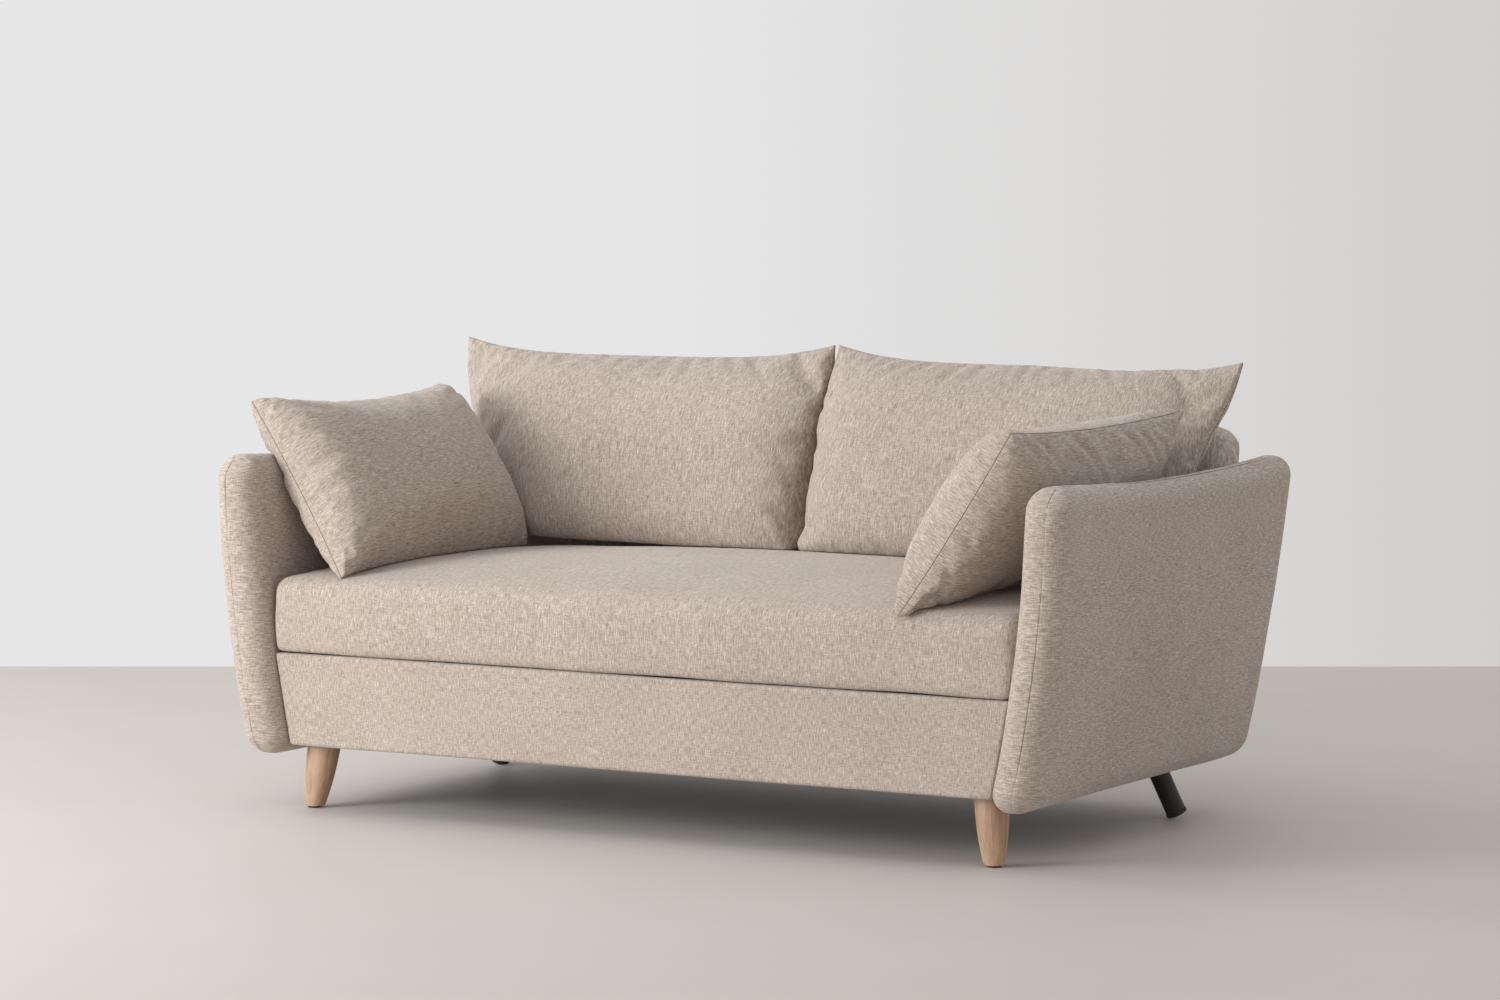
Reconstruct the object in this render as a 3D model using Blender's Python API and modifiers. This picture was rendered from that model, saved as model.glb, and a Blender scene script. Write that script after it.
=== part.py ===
"""Two-seat upholstered sofa with two turned wooden front legs and two splayed black rear legs.

A timber base box carries elastic webbing and a deck cloth. Two flared wing arms are bolted to its
sides and a leaning back panel to its rear. A bench seat cushion, two back cushions and two scatter
cushions lie loose on it.

Metres, +Z up, the sofa faces -Y. Layout places are measured from the floor, from the middle of the
width and from the front face of the base. The object's own origin is on the floor under the middle
of its bounding box. Left and right are those of someone standing in front of the sofa.
"""

import math

import bmesh
import bpy
from mathutils import Matrix, Vector

# Where the front face of the base stands in the object's own frame
FRONT_FACE_Y = -0.50375

# Clearance between pieces that touch on the real sofa
GAP = 0.0004

# Base box
BASE_BOTTOM = 0.126
BASE_HALF_WIDTH_BOTTOM = 0.7565
BASE_HALF_WIDTH_TOP = 0.7915
FRONT_PANEL_TOP = 0.3040
FRONT_PANEL_THICKNESS = 0.024
RAIL_BOTTOM = 0.1275
RAIL_TOP = 0.2975
RAIL_THICKNESS = 0.022
SIDE_RAIL_INNER_X = 0.735
BASE_DEPTH = 0.780
CORNER_BLOCK_SIDE = 0.060
CORNER_BLOCK_TOP = 0.285

# Seat suspension: bands on the rails, then the deck cloth
BAND_WIDTH = 0.070
BAND_THICKNESS = 0.0018
LONG_BAND_COUNT = 7
CROSS_BAND_COUNT = 2
DECK_THICKNESS = 0.0020

# Arms: the centre line of the thickness runs outwards as x = ROOT + FLARE z + CURVE z^2
ARM_ROOT_X = 0.777
ARM_FLARE = 0.2624
ARM_CURVE = -0.1769
ARM_THICKNESS = 0.092
ARM_BOTTOM = 0.104
ARM_TOP = 0.674
ARM_TOP_SAG = 0.020
ARM_NOSE_Y = -0.040
ARM_BOARD_THICKNESS = 0.022
ARM_BOARD_FRONT_Y = 0.060
ARM_BOARD_REAR_Y = 0.870
ARM_BOARD_BOTTOM = 0.135
ARM_BOARD_TOP = 0.615
ARM_BOLT_Y = (0.200, 0.620)
ARM_BOLT_Z = 0.220

# Bolts
BOLT_RADIUS = 0.004
BOLT_HEAD_RADIUS = 0.0095
BOLT_HEAD = 0.0045

# Back panel: a slab leaning back from its front lower edge
BACK_LEAN = math.radians(11.0)
BACK_THICKNESS = 0.140
BACK_FRONT_Y = 0.786
BACK_BOTTOM = 0.131
BACK_HEIGHT = 0.634
BACK_HALF_WIDTH = 0.780
BACK_HALF_WIDTH_BOTTOM = 0.757
BACK_WAIST = 0.150
BACK_CORNER_RADIUS = 0.038
BACK_SLOT_THICKNESS = 0.030
BACK_SLOT_HALF_WIDTH = 0.665
BACK_SLOT_TOP = 0.560
BACK_POST_X = 0.620
BACK_POST_WIDTH = 0.060
BACK_TIMBER = 0.026
BACK_BOLT_Z = (0.175, 0.250)

# Front legs: turned, splayed outwards and forwards
FRONT_LEG_TOP = (0.725, 0.070)
FRONT_LEG_FOOT = (0.739, 0.054)
FRONT_LEG_TOP_RADIUS = 0.032
FRONT_LEG_FOOT_RADIUS = 0.0185
LEG_TOP_Z = 0.1257
GLIDE_RADIUS = 0.013
GLIDE_HEIGHT = 0.0036

# Rear legs: round black bar, splayed outwards and backwards
REAR_LEG_FLOOR_POINT = (0.757, 0.746)
REAR_LEG_RADIUS = 0.0195
REAR_LEG_SPLAY = math.radians(25.0)
REAR_CAP_RADIUS = 0.0205
REAR_CAP_HEIGHT = 0.007
REAR_PLATE_SIZE = 0.084
REAR_PLATE_THICKNESS = 0.0035

# Seat cushion
SEAT_BOTTOM = 0.3046
SEAT_EDGE_TOP = 0.449
SEAT_CROWN = 0.055
SEAT_FRONT_Y = 0.000
SEAT_ARM_GAP = 0.004
SEAT_BACK_GAP = 0.004

# Loose cushions: half sizes from tip to tip, and half thickness
BACK_CUSHION_INNER_X = 0.004
BACK_CUSHION_LOW_X = 0.812
BACK_CUSHION_TIP_X = 0.880
BACK_CUSHION_BOTTOM = (0.716, 0.499)
BACK_CUSHION_TOP = (0.810, 0.886)
BACK_CUSHION_FRONT_THICKNESS = 0.108
BACK_CUSHION_REAR_THICKNESS = 0.092
BACK_CUSHION_SINK = 0.20
BACK_CUSHION_DROOP = 0.045
BACK_CUSHION_PULL = 0.022
BACK_CUSHION_FOOT_ARCH = 0.035
BACK_CUSHION_TOP_SAG = 0.160
BACK_CUSHION_OUTER_DROP = {"left": 0.0, "right": 0.016}
SCATTER_HALF_LENGTH = 0.292
SCATTER_OPEN_THICKNESS = 0.082
SCATTER_ARM_THICKNESS = 0.052
SCATTER_PULL = 0.030
SCATTER_FOOT_ARCH = 0.105
CUSHION_RIM = 0.0035

# Each scatter cushion: its middle, the way of its length from front to rear, the way of its
# height, half its height, how far its top edge sags as a share of that, and how far its front
# and rear upper tips stand above it
SCATTERS = {
    "left": {
        "middle": (-0.742, 0.336, 0.626),
        "length_way": (0.0445, 0.5825, 0.0215),
        "height_way": (-0.2195, 0.0275, 0.3145),
        "half_height": 0.194,
        "top_sag": 0.120,
        "tip_rise": (0.012, 0.0),
    },
    "right": {
        "middle": (0.706, 0.332, 0.629),
        "length_way": (0.0600, 0.5700, 0.0180),
        "height_way": (0.1565, 0.0450, 0.3070),
        "half_height": 0.178,
        "top_sag": 0.070,
        "tip_rise": (-0.007, -0.014),
    },
}

FABRIC_COLOUR = (0.47, 0.40, 0.35, 1.0)
MATERIALS = {
    "linen": (FABRIC_COLOUR, 0.92, 0.0),
    "timber": ((0.66, 0.50, 0.33, 1.0), 0.75, 0.0),
    "turned_oak": ((0.74, 0.56, 0.38, 1.0), 0.50, 0.0),
    "black_metal": ((0.012, 0.012, 0.013, 1.0), 0.45, 0.6),
    "steel": ((0.55, 0.56, 0.57, 1.0), 0.35, 1.0),
    "webbing": ((0.30, 0.27, 0.22, 1.0), 0.90, 0.0),
    "deck_cloth": ((0.20, 0.19, 0.18, 1.0), 0.95, 0.0),
    "black_plastic": ((0.02, 0.02, 0.02, 1.0), 0.60, 0.0),
}


# ---------------------------------------------------------------- scene helpers


def clear_scene():
    for obj in list(bpy.data.objects):
        bpy.data.objects.remove(obj, do_unlink=True)


def new_collection(name):
    collection = bpy.data.collections.new(name)
    bpy.context.scene.collection.children.link(collection)
    return collection


def node_material(name, kind):
    """Each node's own Principled material, in the look of its kind."""
    colour, roughness, metallic = MATERIALS[kind]
    made = bpy.data.materials.new(name + "_" + kind)
    made.use_nodes = True
    shader = made.node_tree.nodes["Principled BSDF"]
    shader.inputs["Base Color"].default_value = colour
    shader.inputs["Roughness"].default_value = roughness
    shader.inputs["Metallic"].default_value = metallic
    made.diffuse_color = colour
    return made


def place(obj, location, rotation=None):
    """Puts an object at a layout place, under the empty that carries the layout."""
    obj.parent = layout
    obj.location = location
    if rotation is not None:
        obj.rotation_mode = "QUATERNION"
        obj.rotation_quaternion = rotation.to_quaternion()
    return obj


def add_part(name, mesh, kind, location=(0, 0, 0), rotation=None):
    obj = bpy.data.objects.new(name, mesh)
    mesh.materials.append(node_material(name, kind))
    parts.objects.link(obj)
    return place(obj, location, rotation)


def add_cutter(name, mesh, location=(0, 0, 0), rotation=None):
    obj = bpy.data.objects.new(name, mesh)
    cutters.objects.link(obj)
    obj.hide_render = True
    obj.display_type = "WIRE"
    return place(obj, location, rotation)


def mesh_from(work, name):
    mesh = bpy.data.meshes.new(name)
    bmesh.ops.recalc_face_normals(work, faces=work.faces)
    work.to_mesh(mesh)
    work.free()
    return mesh


def cut(target, *tools):
    for tool in tools:
        step = target.modifiers.new("cut_" + tool.name, "BOOLEAN")
        step.operation = "DIFFERENCE"
        step.solver = "EXACT"
        step.object = tool


def round_edges(obj, width, segments=2):
    step = obj.modifiers.new("rounded_edges", "BEVEL")
    step.width = width
    step.segments = segments
    step.limit_method = "ANGLE"
    step.angle_limit = math.radians(50)


def smooth(obj, angle=40):
    obj.data.shade_smooth()
    obj.data.set_sharp_from_angle(angle=math.radians(angle))


# ---------------------------------------------------------------- shape helpers


def block_mesh(name, low, high):
    """A box from one corner to the other, with its own origin in its middle."""
    work = bmesh.new()
    bmesh.ops.create_cube(work, size=1.0)
    size = Vector(high) - Vector(low)
    bmesh.ops.scale(work, vec=size, verts=work.verts)
    return mesh_from(work, name)


def middle(low, high):
    return (Vector(low) + Vector(high)) / 2


def block(name, low, high, kind, bevel=0.0):
    obj = add_part(name, block_mesh(name, low, high), kind, middle(low, high))
    if bevel:
        round_edges(obj, bevel)
    return obj


def block_cutter(name, low, high):
    return add_cutter(name, block_mesh(name, low, high), middle(low, high))


def along(direction):
    """The rotation that turns +Z to this direction."""
    return Vector(direction).to_track_quat("Z", "Y").to_matrix()


def drill(name, start, end, radius):
    """A round cutter from start to end."""
    work = bmesh.new()
    run = Vector(end) - Vector(start)
    bmesh.ops.create_cone(
        work, cap_ends=True, segments=16, radius1=radius, radius2=radius, depth=run.length
    )
    return add_cutter(name, mesh_from(work, name), middle(start, end), along(run))


def turned(name, profile, kind, location, direction, steps=20):
    """A turned piece: (radius, height) points from the top of its axis down its outside to the foot."""
    work = bmesh.new()
    corners = [work.verts.new((radius, 0.0, height)) for radius, height in profile]
    for first, second in zip(corners, corners[1:]):
        work.edges.new((first, second))
    mesh = bpy.data.meshes.new(name)
    work.to_mesh(mesh)
    work.free()
    obj = add_part(name, mesh, kind, location, along(direction))
    lathe = obj.modifiers.new("lathe", "SCREW")
    lathe.axis = "Z"
    lathe.steps = steps
    lathe.render_steps = steps
    lathe.use_merge_vertices = True
    lathe.merge_threshold = 0.0001
    return obj


def slab(name, outline, thickness, kind, location, rotation, bevel=0.0):
    """A flat outline in its own XY plane, given a thickness along its own Z."""
    curve = bpy.data.curves.new(name, "CURVE")
    curve.dimensions = "2D"
    curve.fill_mode = "BOTH"
    curve.extrude = thickness / 2
    spline = curve.splines.new("POLY")
    spline.points.add(len(outline) - 1)
    for point, (across, up) in zip(spline.points, outline):
        point.co = (across, up, 0.0, 1.0)
    spline.use_cyclic_u = True
    holder = bpy.data.objects.new(name + "_outline", curve)
    bpy.context.scene.collection.objects.link(holder)
    evaluated = holder.evaluated_get(bpy.context.evaluated_depsgraph_get())
    mesh = bpy.data.meshes.new_from_object(evaluated)
    bpy.data.objects.remove(holder, do_unlink=True)
    work = bmesh.new()
    work.from_mesh(mesh)
    bmesh.ops.remove_doubles(work, verts=work.verts, dist=0.00001)
    bpy.data.meshes.remove(mesh)
    obj = add_part(name, mesh_from(work, name), kind, location, rotation)
    if bevel:
        round_edges(obj, bevel)
    return obj


def caged(name, stations, shape, kind, origin=(0, 0, 0), rotation=None, levels=0):
    """A box cut at the given stations along X, Y and Z, with each corner then put where shape says."""
    work = bmesh.new()
    bmesh.ops.create_cube(work, size=2.0)
    for axis, places in enumerate(stations):
        normal = Vector([float(axis == k) for k in range(3)])
        for spot in places:
            everything = work.verts[:] + work.edges[:] + work.faces[:]
            bmesh.ops.bisect_plane(work, geom=everything, plane_co=normal * spot, plane_no=normal)
    for vert in work.verts:
        vert.co = Vector(shape(*vert.co)) - Vector(origin)
    obj = add_part(name, mesh_from(work, name), kind, origin, rotation)
    if levels:
        step = obj.modifiers.new("soft_form", "SUBSURF")
        step.levels = levels
        step.render_levels = levels
    smooth(obj, 60)
    return obj


def crowded(count):
    """Stations from -1 to 1, without the ends, that crowd towards the ends."""
    return [math.sin(math.pi / 2 * (2 * k / count - 1)) for k in range(1, count)]


def arc(centre, radius, start, end, steps=4):
    """Points of an arc, with its angles in degrees."""
    turns = [math.radians(start + (end - start) * k / steps) for k in range(steps + 1)]
    return [(centre[0] + radius * math.cos(t), centre[1] + radius * math.sin(t)) for t in turns]


UPRIGHT = Matrix.Rotation(math.radians(90), 3, "X")
SIDES = {"left": -1, "right": 1}


# ---------------------------------------------------------------- base box


def bevelled_outline(side, inner, top):
    """Cross-section of a side rail: upright inside, leaning outside so that it sets the arm's flare."""
    rise = (BASE_HALF_WIDTH_TOP - BASE_HALF_WIDTH_BOTTOM) / (FRONT_PANEL_TOP - BASE_BOTTOM)
    low_x = BASE_HALF_WIDTH_BOTTOM + rise * (RAIL_BOTTOM - BASE_BOTTOM)
    top_x = BASE_HALF_WIDTH_BOTTOM + rise * (top - BASE_BOTTOM)
    shape = [(inner, RAIL_BOTTOM), (low_x, RAIL_BOTTOM), (top_x, top), (inner, top)]
    return [(side * across, up) for across, up in shape]


def make_front_panel():
    low, top = BASE_HALF_WIDTH_BOTTOM, BASE_HALF_WIDTH_TOP
    outline = [
        (-low, BASE_BOTTOM), (low, BASE_BOTTOM), (top, FRONT_PANEL_TOP), (-top, FRONT_PANEL_TOP)
    ]
    thickness = FRONT_PANEL_THICKNESS
    place_y = thickness / 2
    slab("front_panel", outline, thickness, "linen", (0, place_y, 0), UPRIGHT, bevel=0.006)


def make_rails():
    """Front, rear and centre rails between two bevelled side rails."""
    inner = SIDE_RAIL_INNER_X - GAP
    front = FRONT_PANEL_THICKNESS + GAP
    block("front_rail", (-inner, front, RAIL_BOTTOM),
          (inner, front + RAIL_THICKNESS, RAIL_TOP), "timber")
    rear = block("rear_rail", (-inner, BASE_DEPTH - RAIL_THICKNESS, RAIL_BOTTOM),
                 (inner, BASE_DEPTH, RAIL_TOP), "timber")
    block("centre_rail", (-0.020, front + RAIL_THICKNESS + GAP, 0.140),
          (0.020, BASE_DEPTH - RAIL_THICKNESS - GAP, 0.215), "timber", bevel=0.002)
    length = BASE_DEPTH - front
    for label, side in SIDES.items():
        outline = bevelled_outline(side, SIDE_RAIL_INNER_X, RAIL_TOP)
        rail = slab("side_rail_" + label, outline, length, "timber",
                    (0, front + length / 2, 0), UPRIGHT)
        for index, bolt_y in enumerate(ARM_BOLT_Y, 1):
            hole = drill(f"side_rail_{label}_hole_{index}", (side * 0.70, bolt_y, ARM_BOLT_Z),
                         (side * 0.82, bolt_y, ARM_BOLT_Z), BOLT_RADIUS + GAP)
            cut(rail, hole)
    for label, side in SIDES.items():
        for index, bolt_z in enumerate(BACK_BOLT_Z, 1):
            hole = drill(f"rear_rail_{label}_hole_{index}", (side * BACK_POST_X, 0.70, bolt_z),
                         (side * BACK_POST_X, 0.80, bolt_z), BOLT_RADIUS + GAP)
            cut(rear, hole)


def make_corner_blocks():
    """A glued block in each corner of the box; the front two take the legs' hanger bolts."""
    outer = SIDE_RAIL_INNER_X - GAP
    inner = outer - CORNER_BLOCK_SIDE
    front = FRONT_PANEL_THICKNESS + RAIL_THICKNESS + 2 * GAP
    rear = BASE_DEPTH - RAIL_THICKNESS - GAP
    for label, side in SIDES.items():
        xs = sorted((side * inner, side * outer))
        front_block = block(
            "corner_block_front_" + label, (xs[0], front, RAIL_BOTTOM),
            (xs[1], front + CORNER_BLOCK_SIDE, CORNER_BLOCK_TOP), "timber")
        cut(front_block, leg_bolt_hole(label, side))
        block("corner_block_rear_" + label, (xs[0], rear - CORNER_BLOCK_SIDE, RAIL_BOTTOM),
              (xs[1], rear, CORNER_BLOCK_TOP), "timber")


def make_suspension():
    """Elastic bands from front to rear, bands across them, and the deck cloth on top."""
    low = RAIL_TOP + GAP / 2
    spacing = 2 * (SIDE_RAIL_INNER_X - 0.02) / LONG_BAND_COUNT
    for index in range(LONG_BAND_COUNT):
        x = spacing * (index - (LONG_BAND_COUNT - 1) / 2)
        block(f"web_long_{index + 1}", (x - BAND_WIDTH / 2, 0.028, low),
              (x + BAND_WIDTH / 2, BASE_DEPTH - 0.004, low + BAND_THICKNESS), "webbing")
    low += BAND_THICKNESS + GAP / 2
    for index in range(CROSS_BAND_COUNT):
        y = BASE_DEPTH * (index + 1) / (CROSS_BAND_COUNT + 1)
        block(f"web_cross_{index + 1}", (-0.750, y - BAND_WIDTH / 2, low),
              (0.750, y + BAND_WIDTH / 2, low + BAND_THICKNESS), "webbing")
    low += BAND_THICKNESS + GAP / 2
    block("seat_deck", (-0.776, 0.025, low), (0.776, BASE_DEPTH, low + DECK_THICKNESS),
          "deck_cloth")


def make_dust_cover():
    """Thin cloth stapled under the box; the front legs' bolts pass through it."""
    cover = block("dust_cover", (-0.752, 0.026, BASE_BOTTOM + GAP / 2),
                  (0.752, BASE_DEPTH - 0.002, RAIL_BOTTOM - GAP / 2), "deck_cloth")
    for label, side in SIDES.items():
        x, y = FRONT_LEG_TOP
        hole = drill("dust_cover_hole_" + label, (side * x, y, 0.10), (side * x, y, 0.15), 0.0075)
        cut(cover, hole)


# ---------------------------------------------------------------- arms


def arm_centre_x(z):
    return ARM_ROOT_X + ARM_FLARE * z + ARM_CURVE * z * z


def arm_inner_x(z):
    return arm_centre_x(z) - ARM_THICKNESS / 2


def arm_rear_y(z):
    """The rear edge leans back, more so towards the top."""
    return 0.931 - 0.049 * z + 0.200 * z * z


def arm_shape(side):
    def shape(across, along_y, up):
        depth = (along_y + 1) / 2
        top = ARM_TOP + ARM_TOP_SAG * along_y * along_y
        z = ARM_BOTTOM + (top - ARM_BOTTOM) * (up + 1) / 2
        y = ARM_NOSE_Y + (arm_rear_y(z) - ARM_NOSE_Y) * depth
        return (side * arm_centre_x(z) + across * ARM_THICKNESS / 2, y, z)

    return shape


def arm_board(label, side, spare):
    """Size, place and rotation of the board in the arm, with some spare room all round."""
    low = Vector((side * arm_centre_x(ARM_BOARD_BOTTOM), 0, ARM_BOARD_BOTTOM))
    high = Vector((side * arm_centre_x(ARM_BOARD_TOP), 0, ARM_BOARD_TOP))
    run = high - low
    half = Vector((ARM_BOARD_THICKNESS / 2 + spare,
                   (ARM_BOARD_REAR_Y - ARM_BOARD_FRONT_Y) / 2 + spare, run.length / 2 + spare))
    centre = (low + high) / 2 + Vector((0, (ARM_BOARD_FRONT_Y + ARM_BOARD_REAR_Y) / 2, 0))
    lean = Matrix.Rotation(math.atan2(run.x, run.z), 3, "Y")
    return block_mesh(label, -half, half), centre, lean


def make_arm(label, side):
    """A board in a padded cover that has a window on its inside, where the bolts reach the board."""
    stations = ([], (-0.82, -0.28, 0.32, 0.86), (-0.80, -0.25, 0.30, 0.76))
    pad = caged("arm_pad_" + label, stations, arm_shape(side), "linen",
                origin=(side * arm_centre_x(0.4), 0.45, 0.4), levels=2)
    pocket = add_cutter("arm_pocket_" + label, *arm_board("arm_pocket_" + label, side, GAP))
    xs = sorted((side * 0.735, side * 0.812))
    window = block_cutter("arm_window_" + label, (xs[0], 0.11, 0.150), (xs[1], 0.80, 0.280))
    cut(pad, pocket, window)
    mesh, centre, lean = arm_board("arm_frame_" + label, side, 0.0)
    board = add_part("arm_frame_" + label, mesh, "timber", centre, lean)
    tip_x = arm_centre_x(ARM_BOLT_Z)
    for index, bolt_y in enumerate(ARM_BOLT_Y, 1):
        start = Vector((side * (SIDE_RAIL_INNER_X - GAP), bolt_y, ARM_BOLT_Z))
        length = tip_x - SIDE_RAIL_INNER_X
        make_bolt(f"arm_bolt_{label}_{index}", start, (side, 0, 0), length)
        hole = drill(f"arm_frame_{label}_hole_{index}", (side * 0.78, bolt_y, ARM_BOLT_Z),
                     (side * (tip_x + 2 * GAP), bolt_y, ARM_BOLT_Z), BOLT_RADIUS + GAP)
        cut(board, hole)


def make_bolt(name, seat, direction, length):
    """A round-headed bolt; its head bears at seat and its shank runs along direction."""
    profile = [
        (0.0, length), (BOLT_RADIUS, length), (BOLT_RADIUS, 0.0),
        (BOLT_HEAD_RADIUS, 0.0), (BOLT_HEAD_RADIUS * 0.8, -BOLT_HEAD), (0.0, -BOLT_HEAD),
    ]
    turned(name, profile, "steel", seat, direction, steps=12)


# ---------------------------------------------------------------- back panel


def back_rotation():
    return Matrix.Rotation(-BACK_LEAN, 3, "X")


def back_place(x, thickness_in, up):
    """Layout place of a point of the back: how far in from its front face and up its slope."""
    return Vector((0, BACK_FRONT_Y, BACK_BOTTOM)) + back_rotation() @ Vector((x, thickness_in, up))


def back_front_y(z):
    return BACK_FRONT_Y + (z - BACK_BOTTOM) * math.tan(BACK_LEAN)


def back_outline():
    """Front view: square at the foot, narrowed there to clear the arms, round at the top corners."""
    half, low, r, top = (BACK_HALF_WIDTH, BACK_HALF_WIDTH_BOTTOM, BACK_CORNER_RADIUS, BACK_HEIGHT)
    right = [(low, 0.0), (half, BACK_WAIST)] + arc((half - r, top - r), r, 0, 90)
    left = [(-across, up) for across, up in reversed(right)]
    return right + left


def leaning_block(name, low, high, kind=None):
    """A box given in the back's own places: across, in from the front face, up the slope."""
    centre = middle(low, high)
    args = (name, block_mesh(name, low, high))
    if kind is None:
        return add_cutter(*args, back_place(*centre), back_rotation())
    return add_part(*args, kind, back_place(*centre), back_rotation())


def make_back():
    thickness = BACK_THICKNESS
    pad = slab("back_pad", back_outline(), thickness, "linen", back_place(0, thickness / 2, 0),
               back_rotation() @ UPRIGHT, bevel=0.022)
    pad.modifiers["rounded_edges"].segments = 3
    slot_low = (thickness - BACK_SLOT_THICKNESS) / 2
    slot_high = slot_low + BACK_SLOT_THICKNESS
    slot = leaning_block("back_slot", (-BACK_SLOT_HALF_WIDTH, slot_low, -0.05),
                         (BACK_SLOT_HALF_WIDTH, slot_high, BACK_SLOT_TOP))
    cut(pad, slot)
    timber_low = (thickness - BACK_TIMBER) / 2
    timber_high = timber_low + BACK_TIMBER
    for label, side in SIDES.items():
        xs = (side * BACK_POST_X - BACK_POST_WIDTH / 2, side * BACK_POST_X + BACK_POST_WIDTH / 2)
        post = leaning_block("back_post_" + label, (xs[0], timber_low, 0.006),
                             (xs[1], timber_high, BACK_SLOT_TOP - 0.002), "timber")
        for index, bolt_z in enumerate(BACK_BOLT_Z, 1):
            head_y = BASE_DEPTH - RAIL_THICKNESS - GAP
            post_y = back_front_y(bolt_z) + timber_low / math.cos(BACK_LEAN)
            tip_y = post_y + 0.018
            seat = Vector((side * BACK_POST_X, head_y, bolt_z))
            make_bolt(f"back_bolt_{label}_{index}", seat, (0, 1, 0), tip_y - head_y)
            hole = drill(f"back_{label}_hole_{index}", (side * BACK_POST_X, 0.74, bolt_z),
                         (side * BACK_POST_X, tip_y + 2 * GAP, bolt_z), BOLT_RADIUS + GAP)
            cut(post, hole)
            cut(pad, hole)
    inner = BACK_POST_X - BACK_POST_WIDTH / 2 - GAP
    for name, low_up, high_up in (
        ("back_lower_rail", 0.190, 0.250),
        ("back_top_rail", BACK_SLOT_TOP - 0.062, BACK_SLOT_TOP - 0.002),
    ):
        leaning_block(name, (-inner, timber_low, low_up), (inner, timber_high, high_up), "timber")
    for index in range(4):
        x = 0.29 * (index - 1.5)
        middle_y = thickness / 2
        leaning_block(f"back_web_{index + 1}",
                      (x - BAND_WIDTH / 2, middle_y - BAND_THICKNESS / 2, 0.250 + GAP),
                      (x + BAND_WIDTH / 2, middle_y + BAND_THICKNESS / 2,
                       BACK_SLOT_TOP - 0.062 - GAP), "webbing")


# ---------------------------------------------------------------- legs


def leg_bolt_hole(label, side):
    x, y = FRONT_LEG_TOP
    return drill("leg_bolt_hole_" + label, (side * x, y, 0.08), (side * x, y, 0.1715),
                 BOLT_RADIUS + GAP)


def make_front_leg(label, side):
    """A turned leg, cut level at the top and the foot, with a hanger bolt and a nailed glide."""
    top = Vector((side * FRONT_LEG_TOP[0], FRONT_LEG_TOP[1], LEG_TOP_Z))
    foot = Vector((side * FRONT_LEG_FOOT[0], FRONT_LEG_FOOT[1], 0.0))
    run = top - foot
    spare = 0.02
    rings = []
    for k in range(9):
        share = 1 - k / 8
        belly = 0.0030 * math.sin(math.pi * share)
        radius = FRONT_LEG_FOOT_RADIUS + (FRONT_LEG_TOP_RADIUS - FRONT_LEG_FOOT_RADIUS) * share
        rings.append((radius + belly, share * run.length))
    profile = [(0.0, run.length + spare), (FRONT_LEG_TOP_RADIUS, run.length + spare)]
    profile += rings + [(FRONT_LEG_FOOT_RADIUS, -spare), (0.0, -spare)]
    leg = turned("front_leg_" + label, profile, "turned_oak", foot, run, steps=24)
    above = block_cutter("front_leg_top_" + label, top + Vector((-0.1, -0.1, 0)),
                         top + Vector((0.1, 0.1, 0.1)))
    below = block_cutter("front_leg_foot_" + label, foot + Vector((-0.1, -0.1, -0.1)),
                         foot + Vector((0.1, 0.1, GLIDE_HEIGHT + GAP)))
    bolt_hole = drill("front_leg_hole_" + label, (top.x, top.y, 0.0845), (top.x, top.y, 0.15),
                      BOLT_RADIUS + GAP)
    cut(leg, above, below, bolt_hole)
    glide = [(0.0, GLIDE_HEIGHT), (GLIDE_RADIUS, GLIDE_HEIGHT), (GLIDE_RADIUS, 0.0008),
             (GLIDE_RADIUS - 0.0015, 0.0), (0.0, 0.0)]
    turned("front_glide_" + label, glide, "black_plastic", foot, (0, 0, 1), steps=20)
    stud = [(0.0, 0.170), (BOLT_RADIUS, 0.170), (BOLT_RADIUS, 0.0855), (0.0, 0.0855)]
    turned("front_leg_bolt_" + label, stud, "steel", (top.x, top.y, 0.0), (0, 0, 1), steps=12)


def make_rear_leg(label, side):
    """A round black bar under a screwed plate, with a cap on its square-cut foot."""
    outwards = Vector((side, 1.0, 0.0)).normalized()
    axis = outwards * math.sin(REAR_LEG_SPLAY) + Vector((0, 0, -math.cos(REAR_LEG_SPLAY)))
    low_rim = -outwards * math.cos(REAR_LEG_SPLAY) - Vector((0, 0, math.sin(REAR_LEG_SPLAY)))
    floor_point = Vector((side * REAR_LEG_FLOOR_POINT[0], REAR_LEG_FLOOR_POINT[1], 0.0))
    foot = floor_point - low_rim * REAR_CAP_RADIUS
    up = -axis
    cap = [(0.0, REAR_CAP_HEIGHT), (REAR_CAP_RADIUS, REAR_CAP_HEIGHT), (REAR_CAP_RADIUS, 0.0),
           (0.0, 0.0)]
    turned("rear_leg_cap_" + label, cap, "black_plastic", foot, up, steps=24)
    low, high = REAR_CAP_HEIGHT + GAP, 0.16
    bar = [(0.0, high), (REAR_LEG_RADIUS, high), (REAR_LEG_RADIUS, low), (0.0, low)]
    leg = turned("rear_leg_" + label, bar, "black_metal", foot, up, steps=24)
    plate_low = BASE_BOTTOM - REAR_PLATE_THICKNESS
    reach = (plate_low - foot.z) / up.z
    head = foot + up * reach
    above = block_cutter("rear_leg_top_" + label, (head.x - 0.1, head.y - 0.1, plate_low - GAP),
                         (head.x + 0.1, head.y + 0.1, 0.3))
    cut(leg, above)
    half = REAR_PLATE_SIZE / 2
    plate_x = side * min(abs(head.x), 0.752 - half)
    plate_y = min(head.y, BASE_DEPTH - half)
    block("rear_leg_plate_" + label, (plate_x - half, plate_y - half, plate_low),
          (plate_x + half, plate_y + half, BASE_BOTTOM), "black_metal")


# ---------------------------------------------------------------- cushions


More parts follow.
